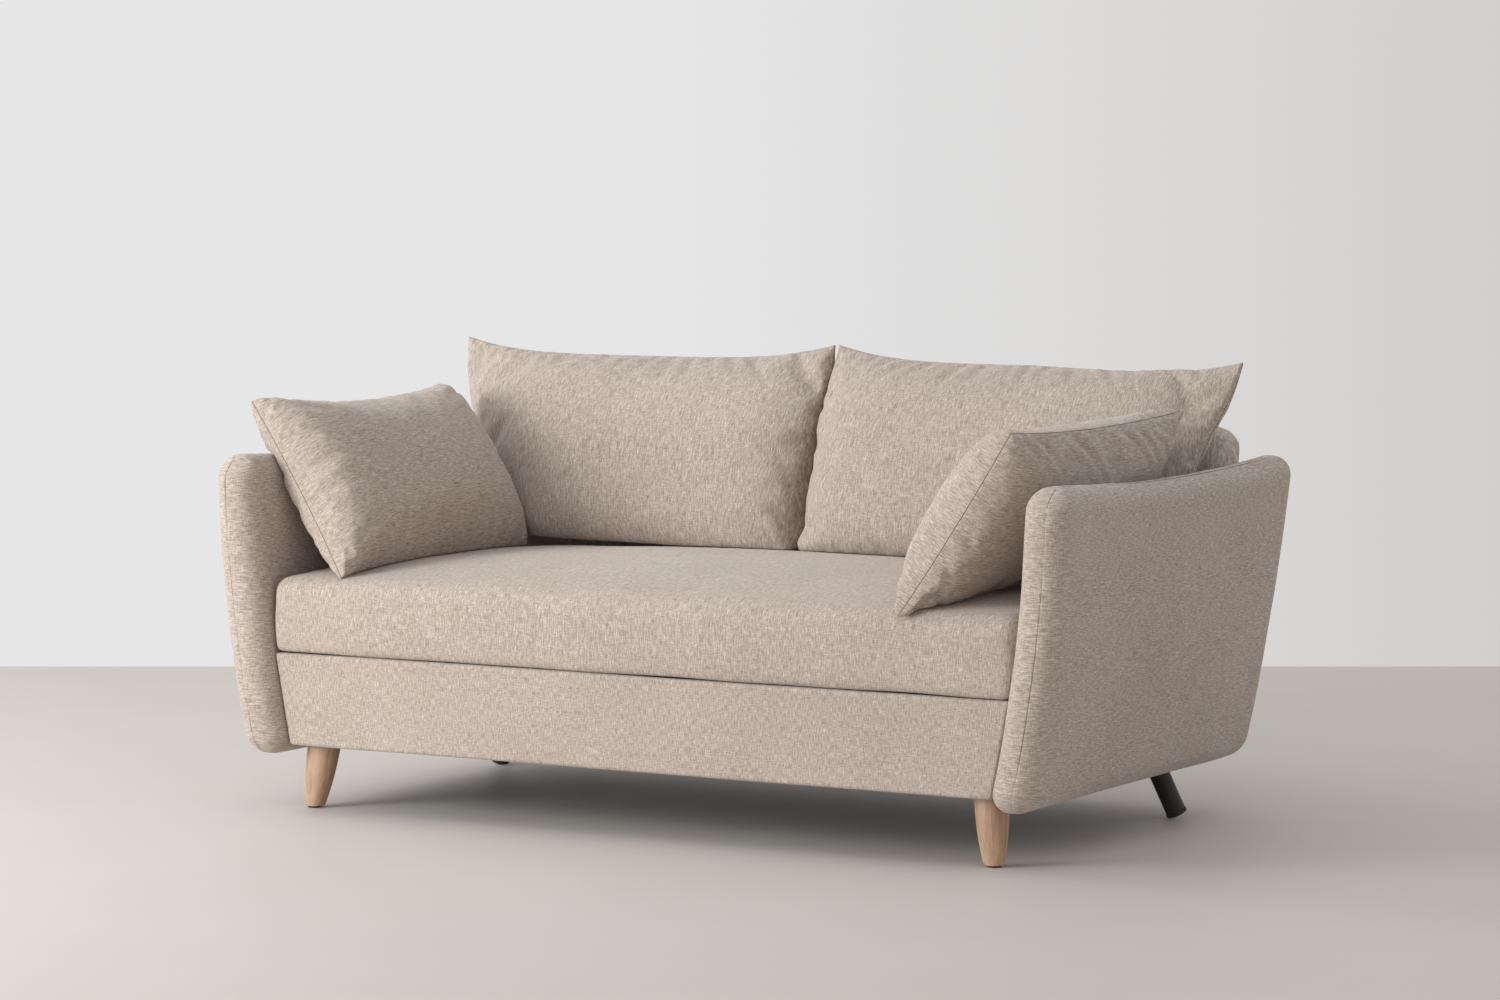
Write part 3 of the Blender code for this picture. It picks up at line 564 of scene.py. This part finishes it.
def make_seat_cushion():
    """A bench cushion with a crowned top, its long upper edges rounder than its lower ones."""
    half = (SEAT_HALF_WIDTH, SEAT_HALF_DEPTH, SEAT_HALF_HEIGHT)

    def shape(x, y, z):
        share = smooth_step((z / half[2] + 0.5) / 1.2)
        radius = SEAT_FOOT_RADIUS + (SEAT_TOP_RADIUS - SEAT_FOOT_RADIUS) * share
        x, y, z = rounded((x, y, z), half, radius)
        a, t, rise = x / half[0], y / half[1], (z / half[2] + 1) / 2
        crown = (1 - abs(t) ** 2.5) * (1 - 0.85 * abs(a) ** 2.5)
        height = SEAT_BOTTOM + (SEAT_EDGE_TOP + SEAT_CROWN * crown - SEAT_BOTTOM) * rise
        wide = arm_centre_x(min(height, SEAT_EDGE_TOP)) - ARM_HALF_THICKNESS - 0.0035
        rear = back_front_y(height) - 0.005
        front = -0.004 * math.sin(math.pi * rise) * (1 - a**6)
        return (a * wide, front + (rear - front) * (t + 1) / 2, height)

    spots = (stations(half[0], SEAT_TOP_RADIUS, 110), stations(half[1], SEAT_TOP_RADIUS, 58),
             stations(half[2], SEAT_TOP_RADIUS, 4))
    work = lattice(spots, shape)
    ruffle(work, 0.0022, 6.0, 17.0)
    seat = finished("seat_cushion_cover", work, LINEN_UPRIGHT, levels=1)
    belongs(seat, "seat_cushion_body", ["seat_cushion"])


# ---------------------------------------------------------------- knife-edged cushions


def dome(share, power):
    """1 in the middle of a cushion and 0 at its seam."""
    return max(0.0, 1 - share * share) ** power


def bent_line(start, bend, end, steps=10):
    """Points of a curve from start to end that leans towards bend."""
    found = []
    for k in range(steps + 1):
        t = k / steps
        found.append(tuple((1 - t) ** 2 * a + 2 * t * (1 - t) * b + t * t * c
                           for a, b, c in zip(start, bend, end)))
    return found


def bent_lines(lines):
    """Creases from rows of start, bend, end, width and depth."""
    return [(bent_line(*row[:3]), *row[3:]) for row in lines]


def crease_depth(x, z, creases):
    """How deep the creases press in at a place of the face, with soft lips beside them."""
    depth = 0.0
    for line, width, most in creases:
        deepest = highest = 0.0
        for k, (px, pz) in enumerate(line):
            fade = math.sin(math.pi * min(0.5, 0.04 + 0.6 * (1 - k / (len(line) - 1))))
            gap = math.hypot(x - px, z - pz) / width
            deepest = max(deepest, fade * math.exp(-gap * gap))
            highest = max(highest, fade * math.exp(-(((gap - 2.0) / 0.9) ** 2)))
        depth += most * (deepest - 0.35 * highest)
    return depth


def gather(along, into, seed, amount=0.0065, reach=0.060):
    """Small folds that run in from a seam, deepest close to it and gone at their reach."""
    if into >= reach:
        return 0.0
    fade = (1 - into / reach) ** 1.5 * min(1.0, into / 0.007)
    folds = noise.noise(Vector((along * 42.0, into * 6.0, seed)))
    fine = noise.noise(Vector((along * 95.0, into * 9.0, seed + 7.0)))
    return amount * fade * (folds + 0.45 * fine)


def make_cushion(name, matrix, outline, thickness, counts, material, seed):
    """Two panels meeting in a knife edge. outline and thickness take shares from -1 to 1."""
    wide, high = (crowded(count) for count in counts)
    rim, face = [], []

    def shape(a, through, b):
        x, y, z = outline(a, b)
        at_edge = through == 0 or abs(a) == 1 or abs(b) == 1
        rim.append(at_edge)
        face.append(through < 0 and not at_edge)
        if through == 0:
            return (x * (1 - RIM / 0.3), y, z * (1 - RIM / 0.2))
        depth, droop = thickness(a, through, b)
        into_x = abs(outline(math.copysign(1.0, a), b)[0]) - abs(x)
        into_z = abs(outline(a, math.copysign(1.0, b))[2]) - abs(z)
        folds = gather(x, into_z, seed + through) + gather(z, into_x, seed + 3 + through)
        depth += folds * min(1.0, 1.6 * depth / 0.05)
        return (x, y + through * (RIM + max(depth, 0.0)), z - droop)

    obj = finished(name, lattice((wide, [-1, 0, 1], high), shape), material, matrix)
    pins = obj.vertex_groups.new(name="seam")
    pins.add([k for k, held in enumerate(rim) if held], 1.0, "REPLACE")
    edge = [(a, -1.0) for a in wide[:-1]] + [(1.0, b) for b in high[:-1]]
    edge += [(-a, 1.0) for a in wide[:-1]] + [(-1.0, -b) for b in high[:-1]]
    points = []
    for a, b in edge:
        x, y, z = outline(a, b)
        points.append((x * (1 - THREAD_INSET / 0.3), y, z * (1 - THREAD_INSET / 0.2)))
    return obj, points, [k for k, front in enumerate(face) if front]


def back_cushion(label, side):
    run = Vector((0, *CUSHION_TOP)) - Vector((0, *CUSHION_BOTTOM))
    centre_x = side * (CUSHION_INNER_X + CUSHION_TIP_X) / 2
    centre = (Vector((0, *CUSHION_TOP)) + Vector((0, *CUSHION_BOTTOM))) / 2
    lean = Matrix.Rotation(-math.atan2(run.y, run.z), 4, "X")
    matrix = Matrix.Translation(centre + Vector((centre_x, 0, 0))) @ lean
    half = (CUSHION_TIP_X - CUSHION_INNER_X) / 2

    def outline(a, b):
        wide, pull = half, CUSHION_INNER_PULL
        if a * side > 0:
            narrowing = CUSHION_TIP_X - CUSHION_LOW_X
            wide -= narrowing * (1 - smooth_step((b + 0.35) / 1.35))
            pull = CUSHION_OUTER_PULL
        arch = CUSHION_FOOT_ARCH if b < 0 else CUSHION_TOP_SAG
        drop = CUSHION_OUTER_DROP[label] * max(0.0, a * side) if b > 0 else 0.0
        high = run.length / 2 * (1 - arch * (1 - a**4)) - drop
        return a * wide * (1 - pull * (1 - b * b)), 0.0, b * high

    def thickness(a, through, b):
        low = (1 - b) / 2
        bulge = dome(a, 0.32 - 0.22 * low if a * side < 0 else 0.42)
        bulge *= dome(b, 0.30 if b < 0 else 0.72)
        bulge *= 1 - CUSHION_SINK * b
        bulge *= 1 + 0.20 * low * smooth_step(-a * side)
        if through > 0:
            return CUSHION_REAR_THICKNESS * bulge, 0.0
        droop = CUSHION_DROOP * bulge * low**1.5
        return CUSHION_FRONT_THICKNESS * bulge, droop

    inwards = -side
    lines = [
        ((inwards * 0.425, 0.10), (inwards * 0.37, 0.06), (inwards * 0.31, 0.065), 0.011, 0.005),
        ((inwards * 0.43, -0.01), (inwards * 0.38, -0.05), (inwards * 0.33, -0.06), 0.013, 0.005),
        ((inwards * 0.43, -0.09), (inwards * 0.39, -0.13), (inwards * 0.33, -0.145), 0.013, 0.005),
        ((side * 0.40, 0.12), (side * 0.34, 0.07), (side * 0.29, 0.075), 0.012, 0.004),
        ((side * 0.12, 0.165), (side * 0.10, 0.14), (side * 0.11, 0.11), 0.010, 0.003),
        ((inwards * 0.17, 0.165), (inwards * 0.15, 0.13), (inwards * 0.16, 0.10), 0.010, 0.003),
    ]
    made = make_cushion("back_cushion_cover_" + label, matrix, outline, thickness,
                        (92, 44), LINEN_UPRIGHT, 20.0 + side)
    return (*made, bent_lines(lines))


def scatter_cushion(label, side):
    sizes = SCATTERS[label]
    names = ("front_low", "front_top", "rear_top", "rear_low")
    corners = {key: Vector(sizes[key]) for key in names}
    middle = sum(corners.values(), Vector()) / 4
    length_way = (corners["rear_low"] + corners["rear_top"] - corners["front_low"]
                  - corners["front_top"]).normalized()
    height_way = (corners["front_top"] + corners["rear_top"] - corners["front_low"]
                  - corners["rear_low"])
    through_way = height_way.cross(length_way).normalized()
    height_way = length_way.cross(through_way).normalized()
    turn = Matrix((length_way, through_way, height_way)).transposed().to_4x4()
    matrix = Matrix.Translation(middle) @ turn
    home = matrix.inverted()
    local = {key: home @ place for key, place in corners.items()}

    def outline(a, b):
        rear, top = (a + 1) / 2, (b + 1) / 2
        low = local["front_low"].lerp(local["rear_low"], rear)
        high = local["front_top"].lerp(local["rear_top"], rear)
        place = low.lerp(high, top)
        half_height = (high.z - low.z) / 2
        sag = sizes["foot_arch"] * (1 - a**4) if b < 0 else sizes["top_sag"] * (1 - a * a)
        place.z -= b * sag * half_height
        place.x *= 1 - SCATTER_PULL * (1 - b * b)
        return tuple(place)

    def thickness(a, through, b):
        towards_arm = through * through_way.x * side > 0
        most = SCATTER_ARM_THICKNESS if towards_arm else SCATTER_OPEN_THICKNESS
        return most * dome(a, 0.26) * dome(b, 0.42), 0.0

    if label == "right":
        lines = [
            ((-0.212, 0.170), (-0.165, 0.150), (-0.100, 0.075), 0.0065, 0.0075),
            ((-0.165, 0.170), (-0.115, 0.150), (-0.075, 0.085), 0.0065, 0.0068),
            ((-0.245, 0.165), (-0.200, 0.125), (-0.165, 0.070), 0.0065, 0.0055),
            ((-0.055, 0.168), (0.020, 0.145), (0.062, 0.055), 0.0085, 0.0110),
            ((0.105, 0.165), (0.180, 0.145), (0.215, 0.075), 0.0070, 0.0085),
            ((0.150, 0.165), (0.205, 0.150), (0.240, 0.095), 0.0065, 0.0068),
            ((0.215, 0.160), (0.240, 0.135), (0.250, 0.110), 0.0060, 0.0045),
            ((-0.280, -0.06), (-0.24, -0.055), (-0.20, -0.075), 0.0075, 0.0060),
            ((-0.280, -0.11), (-0.24, -0.100), (-0.205, -0.125), 0.0070, 0.0055),
        ]
    else:
        lines = [
            ((-0.26, 0.165), (-0.22, 0.130), (-0.17, 0.120), 0.010, 0.0045),
            ((0.26, 0.150), (0.22, 0.120), (0.18, 0.115), 0.010, 0.0045),
            ((-0.27, 0.02), (-0.235, 0.025), (-0.20, 0.010), 0.008, 0.0035),
            ((-0.27, -0.04), (-0.235, -0.035), (-0.19, -0.060), 0.008, 0.0035),
            ((-0.26, -0.150), (-0.225, -0.125), (-0.185, -0.130), 0.009, 0.0040),
            ((0.05, 0.165), (0.060, 0.135), (0.045, 0.105), 0.009, 0.0030),
        ]
    made = make_cushion("scatter_cushion_cover_" + label, matrix, outline, thickness,
                        (96, 62), LINEN_LYING, 30.0 + side)
    return (*made, bent_lines(lines))


def fill_cushions(cushions):
    """Blows the cushions up as cloth held along their seams, and keeps the shape that gives."""
    for obj in cushions:
        cloth = obj.modifiers.new("filling", "CLOTH")
        settings = cloth.settings
        settings.quality = 6
        settings.mass = 0.25
        settings.tension_stiffness = 12
        settings.compression_stiffness = 8
        settings.shear_stiffness = 4
        settings.bending_stiffness = 0.05
        settings.use_pressure = True
        settings.uniform_pressure_force = 3.0
        settings.shrink_min = -0.045
        settings.effector_weights.gravity = 0
        settings.vertex_group_mass = "seam"
        cloth.collision_settings.use_collision = False
        cloth.point_cache.frame_start = 1
        cloth.point_cache.frame_end = SIM_FRAMES
    for moment in range(1, SIM_FRAMES + 1):
        bpy.context.scene.frame_set(moment)
    graph = bpy.context.evaluated_depsgraph_get()
    for obj in cushions:
        blown = [v.co.copy() for v in obj.evaluated_get(graph).data.vertices]
        obj.modifiers.clear()
        for vert, place in zip(obj.data.vertices, blown):
            move = place - vert.co
            if move.length > 0:
                vert.co += move.normalized() * FILL_LIMIT * math.tanh(move.length / FILL_LIMIT)
    bpy.context.scene.frame_set(1)


def press_creases(obj, face, creases):
    """Sinks the long creases into the panel that shows them."""
    obj.data.update()
    moves = [(k, obj.data.vertices[k].normal.copy()) for k in face]
    for k, normal in moves:
        vert = obj.data.vertices[k]
        vert.co -= normal * crease_depth(vert.co.x, vert.co.z, creases)


def seat_top(x, y):
    """Height of the seat cushion's crowned top, falling away round its front edge."""
    a = min(abs(x) / SEAT_REST_HALF_WIDTH, 1.0)
    t = min(abs(y / SEAT_REST_MIDDLE_Y - 1), 1.0)
    top = SEAT_EDGE_TOP + SEAT_CROWN * (1 - t**2.5) * (1 - 0.85 * a**2.5)
    out = max(0.0, SEAT_TOP_RADIUS - y)
    return top - SEAT_TOP_RADIUS + math.sqrt(max(0.0, SEAT_TOP_RADIUS**2 - out * out))


def beside_arm(place):
    """Where a point of a cushion goes when the nearer arm is in its way."""
    share = 2 * (place.y - ARM_NOSE_Y) / (arm_rear_y(place.z) - ARM_NOSE_Y) - 1
    top = ARM_TOP + ARM_TOP_SAG * min(share * share, 1.0)
    bend = top - ARM_HALF_THICKNESS
    clear = ARM_HALF_THICKNESS + ARM_PUFF + REST_GAP
    side = math.copysign(1.0, place.x)
    if place.z < bend:
        place.x = side * min(abs(place.x), arm_centre_x(place.z) - clear)
        return place
    out, up = abs(place.x) - arm_centre_x(bend), place.z - bend
    gap = math.hypot(out, up)
    if gap < clear:
        place.x = side * (arm_centre_x(bend) + out / gap * clear)
        place.z = bend + up / gap * clear
    return place


def settle(obj, seam, kind, side):
    """Presses a cushion flat where the seat, an arm or its twin is in the way, with its seam."""
    to_layout = Matrix.Translation((0, -FRONT_FACE_Y, 0)) @ obj.matrix_world
    back = to_layout.inverted()

    def pressed(point):
        place = to_layout @ Vector(point)
        if kind == "back_cushion":
            place.x = side * max(side * place.x, MIDDLE_GAP)
        else:
            place = beside_arm(place)
        place.z = max(place.z, seat_top(place.x, place.y) + REST_GAP)
        return back @ place

    for vert in obj.data.vertices:
        vert.co = pressed(vert.co)
    return [tuple(pressed(point)) for point in seam]


def make_cushions():
    made = []
    for label, side in SIDES.items():
        made.append((*back_cushion(label, side), "back_cushion", label, side))
        made.append((*scatter_cushion(label, side), "scatter_cushion", label, side))
    fill_cushions([item[0] for item in made])
    for obj, seam, face, creases, kind, label, side in made:
        press_creases(obj, face, creases)
        seam = settle(obj, seam, kind, side)
        subdivide(obj)
        body = f"{kind}_{label}_body"
        belongs(obj, body, [f"{kind}_{label}"])
        home = Matrix.Translation((0, -FRONT_FACE_Y, 0)) @ obj.matrix_world
        thread(f"{kind}_seam_{label}", seam, body, home)


# ---------------------------------------------------------------- legs


def lathe(name, profile, material, place, axis, segments=64, cuts=()):
    """A turned piece; cuts are (place, normal) planes that take off what lies beyond them."""
    work = bmesh.new()
    rings = []
    for radius, height in profile:
        if radius == 0:
            rings.append([work.verts.new((0, 0, height))])
            continue
        turns = [2 * math.pi * k / segments for k in range(segments)]
        rings.append([work.verts.new((radius * math.cos(t), radius * math.sin(t), height))
                      for t in turns])
    for lower, upper in zip(rings, rings[1:]):
        for k in range(segments):
            ends = [lower[k % len(lower)], lower[(k + 1) % len(lower)],
                    upper[(k + 1) % len(upper)], upper[k % len(upper)]]
            work.faces.new(list(dict.fromkeys(ends)))
    turn = Vector(axis).to_track_quat("Z", "Y").to_matrix().to_4x4()
    matrix = Matrix.Translation(place) @ turn
    back = matrix.inverted()
    for spot, normal in cuts:
        local = back @ Vector(spot)
        facing = back.to_3x3() @ Vector(normal)
        everything = work.verts[:] + work.edges[:] + work.faces[:]
        made = bmesh.ops.bisect_plane(work, geom=everything, plane_co=local, plane_no=facing,
                                      clear_outer=True)
        edges = [e for e in made["geom_cut"] if isinstance(e, bmesh.types.BMEdge)]
        bmesh.ops.edgeloop_fill(work, edges=edges)
    bmesh.ops.recalc_face_normals(work, faces=work.faces)
    obj = finished(name, work, material, matrix)
    obj.data.set_sharp_from_angle(angle=math.radians(35))
    step = obj.modifiers.new("eased_edges", "BEVEL")
    step.width = 0.0008
    step.segments = 3
    step.limit_method = "ANGLE"
    step.angle_limit = math.radians(35)
    return obj


def make_legs(label, side):
    top = Vector((side * LEG_TOP[0], *LEG_TOP[1:]))
    foot = Vector((side * LEG_FOOT[0], *LEG_FOOT[1:]))
    run = top - foot
    profile = [(0.0, -LEG_OVERRUN), (LEG_RADII[0] - 0.002, -LEG_OVERRUN)]
    for k in range(25):
        share = k / 24
        radius = LEG_RADII[0] + (LEG_RADII[1] - LEG_RADII[0]) * share
        radius += LEG_BELLY * math.sin(math.pi * share)
        ease = 0.0022 * max(0.0, 1 - (share * run.length - 0.004) / 0.006) ** 2
        profile.append((radius - min(ease, 0.0022), share * run.length))
    end_run = run.length + LEG_OVERRUN
    profile += [(LEG_RADII[1], end_run), (0.0, end_run)]
    cuts = [(top, (0, 0, 1)), (foot + Vector((0, 0, LEG_CUT_HEIGHT)), (0, 0, -1))]
    leg = lathe("front_leg_turned_" + label, profile, OAK, foot, run, cuts=cuts)
    belongs(leg, "frame", ["front_leg_" + label])
    glide = [(0.0, 0.0), (0.0110, 0.0), (0.0125, 0.0008), (0.0130, 0.0020), (0.0130, 0.0036),
             (0.0, 0.0036)]
    pad = lathe("front_leg_glide_" + label, glide, BLACK_PLASTIC, foot, (0, 0, 1))
    belongs(pad, "frame", ["front_glide_" + label])
    outwards = Vector((side, 1.0, 0.0)).normalized()
    axis = outwards * math.sin(REAR_SPLAY) - Vector((0, 0, math.cos(REAR_SPLAY)))
    low_rim = -outwards * math.cos(REAR_SPLAY) - Vector((0, 0, math.sin(REAR_SPLAY)))
    floor_point = Vector((side * REAR_FLOOR_POINT[0], REAR_FLOOR_POINT[1], 0.0))
    end = floor_point - low_rim * REAR_CAP_RADIUS
    bar_profile = [(0.0, REAR_CAP_HEIGHT), (REAR_RADIUS, REAR_CAP_HEIGHT),
                   (REAR_RADIUS, REAR_LEG_RUN), (0.0, REAR_LEG_RUN)]
    cut = [(Vector((0, 0, REAR_LEG_TOP)), (0, 0, 1))]
    bar = lathe("rear_leg_bar_" + label, bar_profile, BLACK_COAT, end, -axis, cuts=cut)
    belongs(bar, "frame", ["rear_leg_" + label])
    cap_profile = [(0.0, 0.0), (REAR_CAP_RADIUS - 0.0012, 0.0), (REAR_CAP_RADIUS, 0.0012),
                   (REAR_CAP_RADIUS, REAR_CAP_HEIGHT), (0.0, REAR_CAP_HEIGHT)]
    cap = lathe("rear_leg_foot_cap_" + label, cap_profile, BLACK_PLASTIC, end, -axis)
    belongs(cap, "frame", ["rear_leg_cap_" + label])


# ---------------------------------------------------------------- frame parts left showing

NODE_LOOKS = (
    ("side_rail", SOFTWOOD_Y), ("centre_rail", SOFTWOOD_Y), ("arm_frame", SOFTWOOD_Y),
    ("front_rail", SOFTWOOD_X), ("rear_rail", SOFTWOOD_X), ("back_lower_rail", SOFTWOOD_X),
    ("back_top_rail", SOFTWOOD_X), ("back_post", SOFTWOOD_Z), ("corner_block", SOFTWOOD_Z),
    ("web_", WEBBING), ("back_web", WEBBING), ("seat_deck", DECK_CLOTH),
    ("dust_cover", DECK_CLOTH), ("arm_bolt", ZINC), ("back_bolt", ZINC),
    ("front_leg_bolt", ZINC), ("rear_leg_plate", BLACK_COAT),
)


def dress_frame():
    for name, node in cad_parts.items():
        if node.hide_render:
            continue
        looks = [material for start, material in NODE_LOOKS if name.startswith(start)]
        if looks:
            node.data.materials.clear()
            node.data.materials.append(looks[0])


# ---------------------------------------------------------------- camera, light and floor

CAMERA_PLACE = (4.311, -7.469, 1.244)
CAMERA_YAW = 30.127
CAMERA_DIP = 4.297
FLOOR_FAR = 11.04


def make_camera():
    data = bpy.data.cameras.new("view")
    data.lens = 107.29
    data.sensor_width = 36
    camera = bpy.data.objects.new("view", data)
    camera.location = CAMERA_PLACE
    camera.rotation_euler = (math.radians(90 - CAMERA_DIP), 0, math.radians(CAMERA_YAW))
    bpy.context.scene.collection.objects.link(camera)
    bpy.context.scene.camera = camera


def area_light(name, place, target, size, power, colour=(1, 1, 1)):
    data = bpy.data.lights.new(name, "AREA")
    data.shape = "DISK"
    data.size = size
    data.energy = power
    data.color = colour
    lamp = bpy.data.objects.new(name, data)
    lamp.location = place
    aim = Vector(target) - Vector(place)
    lamp.rotation_mode = "QUATERNION"
    lamp.rotation_quaternion = aim.to_track_quat("-Z", "Y")
    bpy.context.scene.collection.objects.link(lamp)


def make_floor():
    """A pale floor whose far edge stands for the foot of the wall."""
    yaw = math.radians(CAMERA_YAW)
    ahead = Vector((-math.sin(yaw), math.cos(yaw), 0))
    right = Vector((math.cos(yaw), math.sin(yaw), 0))
    far = Vector((CAMERA_PLACE[0], CAMERA_PLACE[1], 0)) + ahead * FLOOR_FAR
    corners = [far - right * 7, far + right * 7, far + right * 7 - ahead * 14,
               far - right * 7 - ahead * 14]
    mesh = bpy.data.meshes.new("floor")
    mesh.from_pydata([tuple(c) for c in corners], [], [(3, 2, 1, 0)])
    made, tree, shader = new_material("pale_floor")
    where = add(tree, "TexCoord").outputs["Object"]
    patch = grain(tree, where, (2.0, 2.0, 2.0), 3.0, 0.5)
    colour = ramp(tree, patch, [(0.3, (0.600, 0.560, 0.523)), (0.7, (0.618, 0.577, 0.541))])
    set_shader(tree, shader, colour, 0.55, Specular_IOR_Level=0.25)
    mesh.materials.append(made)
    floor = bpy.data.objects.new("floor", mesh)
    bpy.context.scene.collection.objects.link(floor)


def make_world():
    """Pale surroundings, brighter on the left, which also stand for the wall."""
    world = bpy.data.worlds.new("pale_room")
    world.use_nodes = True
    tree = world.node_tree
    back = tree.nodes["Background"]
    yaw = math.radians(CAMERA_YAW)
    where = add(tree, "TexCoord").outputs["Generated"]
    across = add(tree, "VectorMath", [(0, where), (1, (math.cos(yaw), math.sin(yaw), 0.0))],
                 operation="DOT_PRODUCT")
    share = add(tree, "MapRange", [("Value", across.outputs["Value"]), ("From Min", -0.17),
                                   ("From Max", 0.17)])
    colour = ramp(tree, share.outputs["Result"], [
        (0.0, (0.800, 0.800, 0.805)), (0.45, (0.790, 0.788, 0.790)), (1.0, (0.640, 0.622, 0.612))])
    tree.links.new(colour, back.inputs["Color"])
    back.inputs["Strength"].default_value = 1.0
    bpy.context.scene.world = world


make_front_panel()
make_back()
make_seat_cushion()
for side_label, side_sign in SIDES.items():
    make_arm(side_label, side_sign)
    make_legs(side_label, side_sign)
make_cushions()
dress_frame()
make_camera()
make_floor()
make_world()
area_light("key", (-2.6, -3.6, 1.3), (0.0, -0.1, 0.45), 2.2, 128)
area_light("window", (-3.9, -0.6, 3.2), (0.0, -0.1, 0.45), 2.4, 42)
bpy.context.scene.view_settings.view_transform = "Standard"
